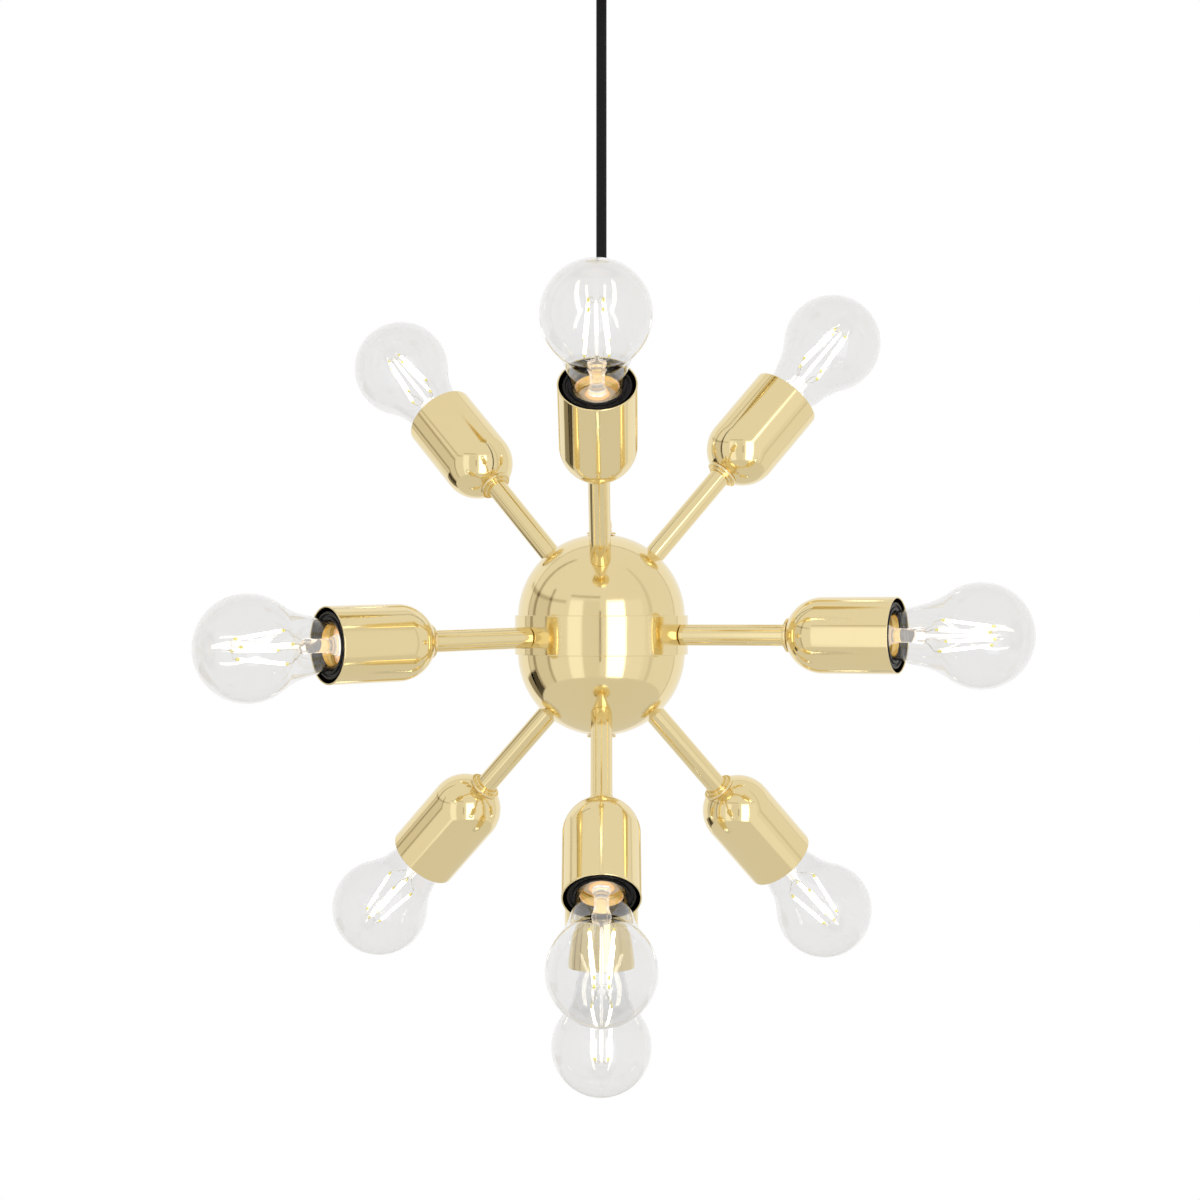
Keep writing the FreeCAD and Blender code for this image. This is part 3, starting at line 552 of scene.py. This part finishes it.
def cup_mesh():
    solid = Solid()
    depth = math.sqrt(CUP_R ** 2 - CUP_FLAT_R ** 2)
    middle = POLE + depth
    inner_r = CUP_R - CUP_WALL
    inner_flat = math.sqrt(inner_r ** 2 - (depth - CUP_WALL) ** 2)
    first = math.degrees(math.atan2(-depth, CUP_FLAT_R))
    inner_first = math.degrees(math.atan2(-(depth - CUP_WALL), inner_flat))
    outline = [(HOLE_R, POLE), (CUP_FLAT_R - 0.5, POLE)]
    outline += arc(0, middle, CUP_R, first + 0.6, 0, 26)
    outline += [(CUP_R, middle + 0.3), (CUP_R, RIM - 0.8), (CUP_R, RIM - 0.42)]
    outline += arc(CUP_R - 0.42, RIM - 0.42, 0.42, 20, 90, 4)
    outline += arc(inner_r + 0.42, RIM - 0.42, 0.42, 90, 180, 4)
    outline += [(inner_r, RIM - 0.8), (inner_r, middle + 0.3)]
    outline += arc(0, middle, inner_r, 0, inner_first, 20)
    outline += [(HOLE_R, POLE + CUP_WALL)]
    solid.lathe(outline, 128)
    return outward(solid.mesh("socket_cup", [BRASS]))


def holder_mesh():
    """Black lampholder: ribbed shoulder, skirt with a grooved rim, floor and terminal room."""
    solid = Solid()
    top = POLE + CUP_WALL
    rim = RIM - HOLDER_RECESS
    floor = SEAT - 2.7
    outline = [
        (HOLE_R, top),
        (8.0, top, 0.5),
        (9.0, top + 4.0, 0.3),
        (16.0, top + 15.0, 1.0),
        (16.0, floor - 4.0, 0.4),
        (19.0, floor - 1.0, 0.6),
        (19.0, rim - 8.0, 0.2),
        (18.5, rim - 7.6, 0.2),
        (18.5, rim - 6.6, 0.2),
        (19.0, rim - 6.2, 0.2),
        (19.0, rim, 0.45),
        (17.6, rim, 0.2),
        (17.2, rim - 0.9, 0.2),
        (16.2, rim - 0.9, 0.2),
        (15.8, rim, 0.2),
        (14.2, rim, 0.4),
        (14.2, floor),
        (2.0, floor),
        (2.0, floor - 4.0),
        (12.0, floor - 4.0),
        (12.0, floor - 18.0),
        (HOLE_R, floor - 18.0),
    ]
    solid.lathe(rounded(outline, 3), 96)
    return outward(solid.mesh("lampholder", [BLACK]))


def cap_mesh():
    """Screw cap: contact, glass insulator, rolled thread that winds round, and crimped skirt."""
    solid = Solid()
    contact = [(0, SEAT), (3.4, SEAT), (4.4, SEAT + 0.5), (4.5, SEAT + 1.0), (4.2, SEAT + 1.3)]
    solid.lathe(contact + [(0, SEAT + 1.3)], 48, 2, False)
    insulator = [(3.8, SEAT + 1.2), (5.2, SEAT + 1.3), (10.6, SEAT + 4.6), (11.4, SEAT + 5.2)]
    solid.lathe(insulator + [(10.8, SEAT + 5.8), (3.8, SEAT + 2.4)], 48, 1)
    pitch = 3.63
    low = SEAT + 4.9
    thread_low = SEAT + 6.2
    thread_high = SEAT + 22.0
    segments = 72
    rows = []
    rows.append((11.2, low, 0))
    rows.append((12.2, low + 0.5, 0))
    steps = 84
    for step in range(steps + 1):
        height = thread_low + (thread_high - thread_low) * step / steps
        fade = min(1.0, (height - thread_low) / 1.6, (thread_high - height) / 1.6)
        rows.append((CAP_R, height, max(0.0, fade)))
    rows += [(CAP_R - 0.15, SEAT + 22.6, 0), (CAP_R, SEAT + 23.2, 0), (CAP_R, CAP_TOP - 0.7, 0)]
    rows += [(CAP_R - 0.12, CAP_TOP - 0.2, 0), (CAP_R - 0.25, CAP_TOP, 0)]
    rows += [(CAP_R - 0.4, CAP_TOP - 0.1, 0), (CAP_R - 0.5, CAP_TOP - 4, 0), (11.6, low + 1.2, 0)]
    rings = []
    for radius, height, fade in rows:
        ring = []
        for step in range(segments):
            angle = 2 * math.pi * step / segments
            wave = 0.5 - 0.5 * math.cos(2 * math.pi * (height / pitch) - angle)
            reach = radius - fade * wave
            ring.append((reach * math.cos(angle), reach * math.sin(angle), height))
        rings.append(ring)
    solid.grid(rings, True, 0)
    mesh = outward(solid.mesh("screw_cap", [GOLD_CAP, VITRITE, SOLDER, CAP_PAINTED_GLOW], 55))
    # Faces turned inward above the thread take the painted glow of the cap's inside.
    for face in mesh.polygons:
        inward = face.center.x * face.normal.x + face.center.y * face.normal.y < 0
        if inward and face.material_index == 0 and face.center.z > (SEAT + 8.0) * MM:
            face.material_index = 3
    return mesh


def glass_outline(offset, steps):
    """One skin of the envelope, moved inwards by offset: neck line, fillet and globe."""
    lean = math.sqrt(1 + TAPER ** 2)
    drop = GLOBE - CAP_TOP
    ahead = (drop - COLLAR_R * TAPER) / lean
    aside = (COLLAR_R + drop * TAPER) / lean
    run = ahead - math.sqrt((GLOBE_R + NECK_FILLET) ** 2 - (aside + NECK_FILLET) ** 2)
    flare_r = COLLAR_R + run * TAPER / lean
    flare_z = CAP_TOP + run / lean
    middle_r = flare_r + NECK_FILLET / lean
    middle_z = flare_z - NECK_FILLET * TAPER / lean
    first = math.degrees(math.atan2(flare_z - middle_z, flare_r - middle_r))
    last = math.degrees(math.atan2(GLOBE - middle_z, -middle_r))
    if first < 0:
        first += 360
    if last < 0:
        last += 360
    globe_first = math.degrees(math.atan2(middle_z - GLOBE, middle_r))
    points = []
    radius = NECK_FILLET + offset
    points += arc(middle_r, middle_z, radius, first, last, steps // 3)
    points += arc(0, GLOBE, GLOBE_R - offset, globe_first + 1.5, 90, steps)
    points[-1] = (0.0, points[-1][1])
    return points


def glass_mesh():
    solid = Solid()
    outer = [(NECK_R, CAP_TOP - 7.0), (NECK_R, CAP_TOP - 0.02), (COLLAR_R - 0.12, CAP_TOP + 0.05)]
    outer += [(COLLAR_R + 0.05, CAP_TOP + 0.35), (COLLAR_R + TAPER * 8, CAP_TOP + 8)]
    outer += glass_outline(0.0, 48)
    inner = glass_outline(WALL, 48)
    inner.reverse()
    inner += [(COLLAR_R + TAPER * 8 - WALL, CAP_TOP + 8), (COLLAR_R - WALL, CAP_TOP + 0.5)]
    inner += [(NECK_R - WALL, CAP_TOP - 0.5), (NECK_R - WALL, CAP_TOP - 7.0)]
    solid.lathe(outer, 112, 0, False)
    solid.lathe(inner, 112, 0, False)
    rim = [(NECK_R, CAP_TOP - 7.0), (NECK_R - WALL, CAP_TOP - 7.0)]
    solid.lathe(rim, 112, 0, False)
    return outward(solid.mesh("glass_envelope", [GLASS], 60), 1e-7)


STRIPS = 4
STRIP_LOW = CAP_TOP + 27.5
STRIP_HIGH = STRIP_LOW + 31.0
STRIP_LOW_R = 9.5
STRIP_HIGH_R = 5.5


def stem_mesh():
    """The glass stem: a flare sealed to the neck, a tube, a flat pinch and a thin rod."""
    solid = Solid()
    start = CAP_TOP - 7.0
    rows = []
    shape = [
        (11.4, 11.4, 0.0), (10.2, 10.2, 0.9), (7.6, 7.6, 2.4), (5.6, 5.6, 4.6),
        (4.5, 4.5, 7.5), (4.1, 4.1, 11.0), (4.0, 3.8, 15.0), (4.3, 3.0, 18.5),
        (5.2, 2.0, 21.5), (5.4, 1.6, 24.0), (5.0, 1.5, 25.4), (3.2, 1.4, 26.2),
        (1.3, 1.2, 26.9), (1.0, 1.0, 29.0), (0.95, 0.95, 50.0), (0.9, 0.9, 66.4),
        (0.6, 0.6, 67.2),
    ]
    rows.append([(0.0, 0.0, start + 1.2)])
    for wide, thin, rise in [(9.6, 9.6, 0.3)] + shape:
        ring = []
        for step in range(48):
            angle = 2 * math.pi * step / 48
            ring.append((wide * math.cos(angle), thin * math.sin(angle), start + rise))
        rows.append(ring)
    rows.append([(0.0, 0.0, start + 67.4)])
    solid.grid(rows, False)
    return outward(solid.mesh("glass_stem", [STEM_GLASS_PAINTED_GLOW], 60))


def wires_mesh():
    """Support wires: four feet out of the pinch, four arms off the rod and a tiny end hook."""
    solid = Solid()
    pinch = CAP_TOP - 7.0 + 24.5
    for index in range(STRIPS):
        angle = math.pi / 4 + index * math.pi / 2
        cos, sin = math.cos(angle), math.sin(angle)
        foot_x = 3.6 if cos > 0 else -3.6
        low = [
            (foot_x * 0.8, 0.5 * (1 if sin > 0 else -1), pinch - 3.5),
            (foot_x * 0.85, 0.7 * (1 if sin > 0 else -1), pinch + 1.2),
            (STRIP_LOW_R * 0.62 * cos, STRIP_LOW_R * 0.62 * sin, pinch + 5.0),
            (STRIP_LOW_R * 0.96 * cos, STRIP_LOW_R * 0.96 * sin, STRIP_LOW - 2.6),
            (STRIP_LOW_R * 1.0 * cos, STRIP_LOW_R * 1.0 * sin, STRIP_LOW + 0.4),
        ]
        solid.tube(low, 0.22, 8)
        high = [
            (0.5 * cos, 0.5 * sin, STRIP_HIGH + 0.9),
            (STRIP_HIGH_R * 0.6 * cos, STRIP_HIGH_R * 0.6 * sin, STRIP_HIGH + 2.2),
            (STRIP_HIGH_R * 0.98 * cos, STRIP_HIGH_R * 0.98 * sin, STRIP_HIGH + 1.6),
            (STRIP_HIGH_R * cos, STRIP_HIGH_R * sin, STRIP_HIGH - 0.4),
        ]
        solid.tube(high, 0.2, 8)
    return outward(solid.mesh("filament_wires", [WIRE], 60))


def strips_mesh():
    """Four lit strips that lean in towards the tip, each with bare yellow coat at its ends."""
    solid = Solid()
    for index in range(STRIPS):
        angle = math.pi / 4 + index * math.pi / 2
        out = Vector((math.cos(angle), math.sin(angle), 0))
        low = out * STRIP_LOW_R + Vector((0, 0, STRIP_LOW))
        high = out * STRIP_HIGH_R + Vector((0, 0, STRIP_HIGH))
        run = high - low
        ends = ((0.0, 0.07), (0.93, 1.0))
        solid.tube([low + run * (0.07 + 0.86 * k / 8) for k in range(9)], 0.92, 16, 0, 0.85)
        for first, last in ends:
            points = [low + run * (first + (last - first) * k / 3) for k in range(4)]
            solid.tube(points, 0.8, 16, 1, 0.85)
    return outward(solid.mesh("filament_strips", [PHOSPHOR, PHOSPHOR_END], 60))


CUP = cup_mesh()
COLLAR = collar_mesh()
HOLDER = holder_mesh()
CAP = cap_mesh()
ENVELOPE = glass_mesh()
STEM = stem_mesh()
WIRES = wires_mesh()
STRIPS_MESH = strips_mesh()
TUBES = {tier: tube_mesh(tier) for tier in STARTS}

for light, tier, azimuth, elevation in LIGHTS:
    spot = light_matrix(tier, azimuth, elevation)
    bulb = "bulb_" + light
    place_piece("tube_" + light, TUBES[tier], spot, "pendant", ["arm_tubes"])
    place_piece("collar_" + light, COLLAR, spot, "pendant", ["arm_collars"])
    place_piece("cup_" + light, CUP, spot, "pendant", ["socket_cup_" + light])
    holders = ["lampholders_" + tier]
    place_piece("holder_" + light, HOLDER, spot, "pendant", holders)
    place_piece("cap_" + light, CAP, spot, bulb, ["bulb_cap_" + light])
    glass = place_piece(
        "glass_" + light, ENVELOPE, spot, bulb, ["bulb_glass_" + light]
    )
    filaments = ["bulb_filaments_" + light]
    stem = place_piece("stem_" + light, STEM, spot, bulb, filaments)
    glass.visible_shadow = False
    stem.visible_shadow = False
    place_piece("wires_" + light, WIRES, spot, bulb, filaments)
    place_piece("strips_" + light, STRIPS_MESH, spot, bulb, filaments)


# ---------------------------------------------------------------- hub
def upright(height, turn_over=False):
    matrix = Matrix.Translation((0, 0, height * MM))
    return matrix @ Matrix.Rotation(math.pi, 4, "X") if turn_over else matrix


def shell_mesh():
    solid = Solid()
    inner_r = HUB_R - HUB_WALL
    last = math.degrees(math.acos(HOLE_R / HUB_R))
    outline = arc(0, 0, HUB_R, 0, last, 64)
    outline += arc(0, 0, inner_r, math.degrees(math.acos(HOLE_R / inner_r)), 0, 40)
    solid.lathe(outline, 192)
    return outward(solid.mesh("half_shell", [BRASS]))


def band_mesh():
    solid = Solid()
    ledge = HALF_BAND - SPREAD
    seat = HUB_R + 0.32
    outline = [
        (BAND_INNER_R, -HALF_BAND + ledge),
        (seat, -HALF_BAND + ledge),
        (seat, -HALF_BAND, 0.2),
        (BAND_R, -HALF_BAND, 0.45),
        (BAND_R, HALF_BAND, 0.45),
        (seat, HALF_BAND, 0.2),
        (seat, HALF_BAND - ledge),
        (BAND_INNER_R, HALF_BAND - ledge),
    ]
    solid.lathe(rounded(outline, 4), 192)
    return outward(solid.mesh("hub_band_ring", [BRASS]))


def washer_mesh():
    solid = Solid()
    outline = [
        (HOLE_R, WASHER_Z),
        (WASHER_R, WASHER_Z, 0.3),
        (WASHER_R, WASHER_Z + WASHER, 0.3),
        (HOLE_R, WASHER_Z + WASHER),
    ]
    solid.lathe(rounded(outline), 96)
    return outward(solid.mesh("base_washer_ring", [BRASS]))


def grip_mesh():
    """Cord grip: flange, ringed neck and a tapered nose round the cord."""
    solid = Solid()
    outline = [
        (HOLE_R, 0),
        (WASHER_R, 0, 0.3),
        (WASHER_R, WASHER, 0.3),
        (6.3, WASHER, 0.25),
        (6.3, 3.2, 0.1),
        (6.0, 3.5, 0.1),
        (6.0, 3.9, 0.1),
        (6.3, 4.2, 0.1),
        (6.3, 6.2, 0.4),
        (4.5, 14.0, 0.4),
        (3.4, 14.0, 0.2),
        (3.4, 5.1),
        (HOLE_R, 5.1),
    ]
    solid.lathe(rounded(outline, 3), 96)
    return outward(solid.mesh("cord_grip_body", [BRASS]))


SHELL = shell_mesh()
top = upright(HUB_Z + SPREAD)
bottom = upright(HUB_Z - SPREAD, True)
place_piece("upper_shell", SHELL, top, "pendant", ["hub_upper_shell"])
place_piece("lower_shell", SHELL, bottom, "pendant", ["hub_lower_shell"])
place_piece("band", band_mesh(), upright(HUB_Z), "pendant", ["hub_band"])
place_piece("base_washer", washer_mesh(), bottom, "pendant", ["arm_collars"])
grip_place = upright(HUB_Z + SPREAD + WASHER_Z)
place_piece("grip", grip_mesh(), grip_place, "pendant", ["cord_grip"])


# ---------------------------------------------------------------- ceiling fitting
def ceiling_cup_mesh():
    solid = Solid()
    outline = [(6.6, 0), (45.0, 0)]
    outline += arc(45.0, 5.0, 5.0, -85, 0, 10)
    outline += [(50.0, 24.6), (49.8, 25.0), (49.0, 25.0), (49.0, 5.0)]
    outline += arc(45.0, 5.0, 4.0, -5, -90, 8)
    outline += [(6.6, 1.0)]
    solid.lathe(outline, 192)
    return outward(solid.mesh("ceiling_cup_body", [BRASS]))


def bush_mesh():
    solid = Solid()
    outline = [
        (5.5, 0, 0.3),
        (6.5, 0, 0.3),
        (6.5, 2.6, 0.1),
        (6.2, 3.0, 0.1),
        (6.5, 3.4, 0.1),
        (6.5, 10.0),
        (10.0, 10.0, 0.3),
        (10.0, 12.0, 0.4),
        (2.0, 12.0),
    ]
    points = rounded(outline, 3)
    points += arc(0, 5.0, 3.4, math.degrees(math.acos(2.0 / 3.4)), 0, 8)
    solid.lathe(points, 96)
    return outward(solid.mesh("ceiling_bush_body", [BLACK]))


def screws_mesh():
    """Side screws: a shank with a thread, and a domed head."""
    solid = Solid()
    for side in (-1, 1):
        place = Matrix.Translation((side * SCREW_X, 0, SCREW_Z))
        place = place @ Matrix.Rotation(side * math.pi / 2, 4, "Y")
        shank = [(0, 0), (1.6, 0)]
        for turn in range(10):
            shank += [(2.0, 0.4 + 0.7 * turn), (1.7, 0.75 + 0.7 * turn)]
        head = [(2.0, 7.9), (4.0, 8.0), (4.0, 8.7), (3.5, 9.5), (2.5, 10.0), (1.2, 10.2), (0, 10.2)]
        solid.lathe(shank + head, 48, 0, False, place)
    return outward(solid.mesh("side_screw_pair", [BRASS], 30))


CEILING_PIECES = [
    ("ceiling_cup_shell", ceiling_cup_mesh(), CEILING_CUP_Z, "ceiling_cup", "polished_brass"),
    ("ceiling_bush_nose", bush_mesh(), BUSH_Z, "ceiling_bush", "black_moulding"),
    ("screw_pair", screws_mesh(), 0.0, "side_screws", "polished_brass"),
]
for name, mesh, height, node, slot in CEILING_PIECES:
    place_piece(name, mesh, upright(height), "ceiling", [node])

# ---------------------------------------------------------------- CAD nodes that stay as they are
KEPT = {
    "arm_nipples": THREADED,
    "hex_nuts": STEEL,
    "hub_tie_rod": THREADED,
    "lampholder_contacts": BARE_BRASS,
    "ceiling_strap": STEEL,
    "terminal_block": WHITE,
}
for node, material in KEPT.items():
    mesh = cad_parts[node].data
    mesh.materials.clear()
    mesh.materials.append(material)


# ---------------------------------------------------------------- floor, world and lamps
FLOOR_R = 1.35  # metres
FLOOR_Z = -1.3
STUDIO = 0.86  # strength that metal mirrors where nothing stands
FILL = 0.62  # strength that lights plain surfaces

# What stands in the mirrored studio: azimuth from, to, elevation from, to, softness, gain.
PATCHES = [
    (9, 31, -58, 20, 3, 1.5),
    (-44, -27, -50, 20, 3, 0.22),
    (-26, -4, -50, 20, 3, -0.06),
    (-2.4, -0.9, -12, 9, 0.6, -0.55),
    (34, 58, -50, 20, 3, 0.06),
    (-79, -76, -40, 30, 1.5, -0.35),
    (-121, -80, -60, 19, 3, -0.13),
    (-108, -104, -60, 64, 2, -0.34),
    (-137, -109, -37, -16, 1.2, -0.66),
    (-134, -52, 19, 20.4, 1, -0.24),
    (-46, -2, 27.6, 28.6, 0.8, -0.3),
    (70, 74, -40, 60, 2, -0.12),
]


def make_floor():
    """A pale floor far below the pendant."""
    data = bpy.data.meshes.new("floor")
    rim = [math.radians(3 * step) for step in range(120)]
    corners = [(FLOOR_R * math.cos(turn), FLOOR_R * math.sin(turn), FLOOR_Z) for turn in rim]
    data.from_pydata(corners, [], [tuple(range(len(corners)))])
    shader = Shader("floor_white")
    shader.set(Roughness=0.9, Specular_IOR_Level=0.1)
    shader.join(
        shader.blend(shader.noise(6, 3), (0.86, 0.86, 0.86), (0.84, 0.84, 0.84)),
        shader.surface.inputs["Base Color"],
    )
    path = shader.add("ShaderNodeLightPath")
    through = path.outputs["Is Transmission Ray"]
    seen = shader.math("MAXIMUM", path.outputs["Is Camera Ray"], through)
    shader.surface.inputs["Emission Color"].default_value = (1, 1, 1, 1)
    shader.join(shader.math("MULTIPLY", seen, 0.75), shader.surface.inputs["Emission Strength"])
    mirrored = shader.add("ShaderNodeEmission")
    mirrored.inputs["Color"].default_value = (1.0, 0.975, 0.93, 1)
    mirrored.inputs["Strength"].default_value = 0.74
    either = shader.add("ShaderNodeMixShader")
    shader.join(path.outputs["Is Glossy Ray"], either.inputs[0])
    shader.join(shader.surface.outputs["BSDF"], either.inputs[1])
    shader.join(mirrored.outputs["Emission"], either.inputs[2])
    shader.join(either.outputs["Shader"], shader.output.inputs["Surface"])
    data.materials.append(shader.material)
    floor = bpy.data.objects.new("floor", data)
    bpy.context.collection.objects.link(floor)


def make_world():
    """White to the camera and through glass. Metal sees a studio: soft boxes, and dark stands."""
    world = bpy.data.worlds.new("studio")
    bpy.context.scene.world = world
    world.use_nodes = True
    world.node_tree.nodes.clear()
    nodes = Nodes(world.node_tree)
    add, join, calc = nodes.add, nodes.join, nodes.math

    way = add("ShaderNodeTexCoord").outputs["Generated"]
    axes = add("ShaderNodeSeparateXYZ")
    join(way, axes.inputs["Vector"])
    x, y, z = axes.outputs["X"], axes.outputs["Y"], axes.outputs["Z"]
    turn = calc("MULTIPLY", calc("ARCTAN2", x, calc("MULTIPLY", y, -1.0)), 180 / math.pi)
    rise = calc("MULTIPLY", calc("ARCSINE", z), 180 / math.pi)

    def window(value, low, high, soft):
        """1 between two angles, fading to 0 over soft degrees on each side."""
        up = add("ShaderNodeMapRange", interpolation_type="SMOOTHSTEP")
        up.inputs["From Min"].default_value = low - soft
        up.inputs["From Max"].default_value = low
        join(value, up.inputs["Value"])
        down = add("ShaderNodeMapRange", interpolation_type="SMOOTHSTEP")
        down.inputs["From Min"].default_value = high
        down.inputs["From Max"].default_value = high + soft
        down.inputs["To Min"].default_value = 1.0
        down.inputs["To Max"].default_value = 0.0
        join(value, down.inputs["Value"])
        return calc("MULTIPLY", up.outputs["Result"], down.outputs["Result"])

    total = STUDIO
    for turn_low, turn_high, rise_low, rise_high, soft, gain in PATCHES:
        mask = calc(
            "MULTIPLY",
            window(turn, turn_low, turn_high, soft),
            window(rise, rise_low, rise_high, soft * 2),
        )
        total = calc("ADD", total, calc("MULTIPLY", mask, gain))
    # The white backdrop behind the pendant, with a thin dark edge round it.
    total = calc("ADD", total, calc("MULTIPLY", window(y, 0.53, 1.5, 0.02), 0.08))
    total = calc("ADD", total, calc("MULTIPLY", window(y, 0.49, 0.51, 0.01), -0.22))
    tint = add("ShaderNodeMix", data_type="RGBA")
    tint.inputs["A"].default_value = (1.0, 0.84, 0.58, 1)
    tint.inputs["B"].default_value = (1, 1, 1, 1)
    join(calc("MINIMUM", total, 1.0), tint.inputs["Factor"])
    path = add("ShaderNodeLightPath")
    seen = calc("MAXIMUM", path.outputs["Is Camera Ray"], path.outputs["Is Transmission Ray"])
    glossy = path.outputs["Is Glossy Ray"]
    plain = calc("MULTIPLY", calc("SUBTRACT", 1.0, glossy), FILL)
    strength = calc("ADD", calc("MULTIPLY", glossy, total), plain)
    strength = calc(
        "ADD",
        calc("MULTIPLY", strength, calc("SUBTRACT", 1.0, seen)),
        seen,
    )
    background = add("ShaderNodeBackground")
    shade = add("ShaderNodeMix", data_type="RGBA")
    shade.inputs["A"].default_value = (1, 1, 1, 1)
    join(tint.outputs["Result"], shade.inputs["B"])
    join(glossy, shade.inputs["Factor"])
    join(shade.outputs["Result"], background.inputs["Color"])
    join(strength, background.inputs["Strength"])
    output = add("ShaderNodeOutputWorld")
    join(background.outputs["Background"], output.inputs["Surface"])


def make_lamp(name, location, target, size, energy):
    """A soft box that lights plain surfaces. Metal reflects the studio round it instead."""
    data = bpy.data.lights.new(name, "AREA")
    data.shape = "SQUARE"
    data.size = size
    data.energy = energy
    lamp = bpy.data.objects.new(name, data)
    lamp.location = location
    lamp.rotation_euler = (Vector(target) - Vector(location)).to_track_quat("-Z", "Y").to_euler()
    lamp.visible_camera = False
    lamp.visible_glossy = False
    lamp.visible_transmission = False
    bpy.context.collection.objects.link(lamp)


make_floor()
make_world()
make_lamp("key", (1.5, -1.7, 0.6), (0, 0, -0.42), 1.1, 16)
make_lamp("fill", (-1.7, -1.2, 0.1), (0, 0, -0.42), 1.3, 8)
make_lamp("back", (0.3, 1.9, 0.5), (0, 0, -0.42), 1.2, 8)

scene = bpy.context.scene
scene.view_settings.view_transform = "Standard"
scene.cycles.max_bounces = 20
scene.cycles.glossy_bounces = 8
scene.cycles.transmission_bounces = 18
scene.cycles.transparent_max_bounces = 12
scene.cycles.caustics_reflective = False
scene.cycles.caustics_refractive = False

bpy.context.view_layer.update()
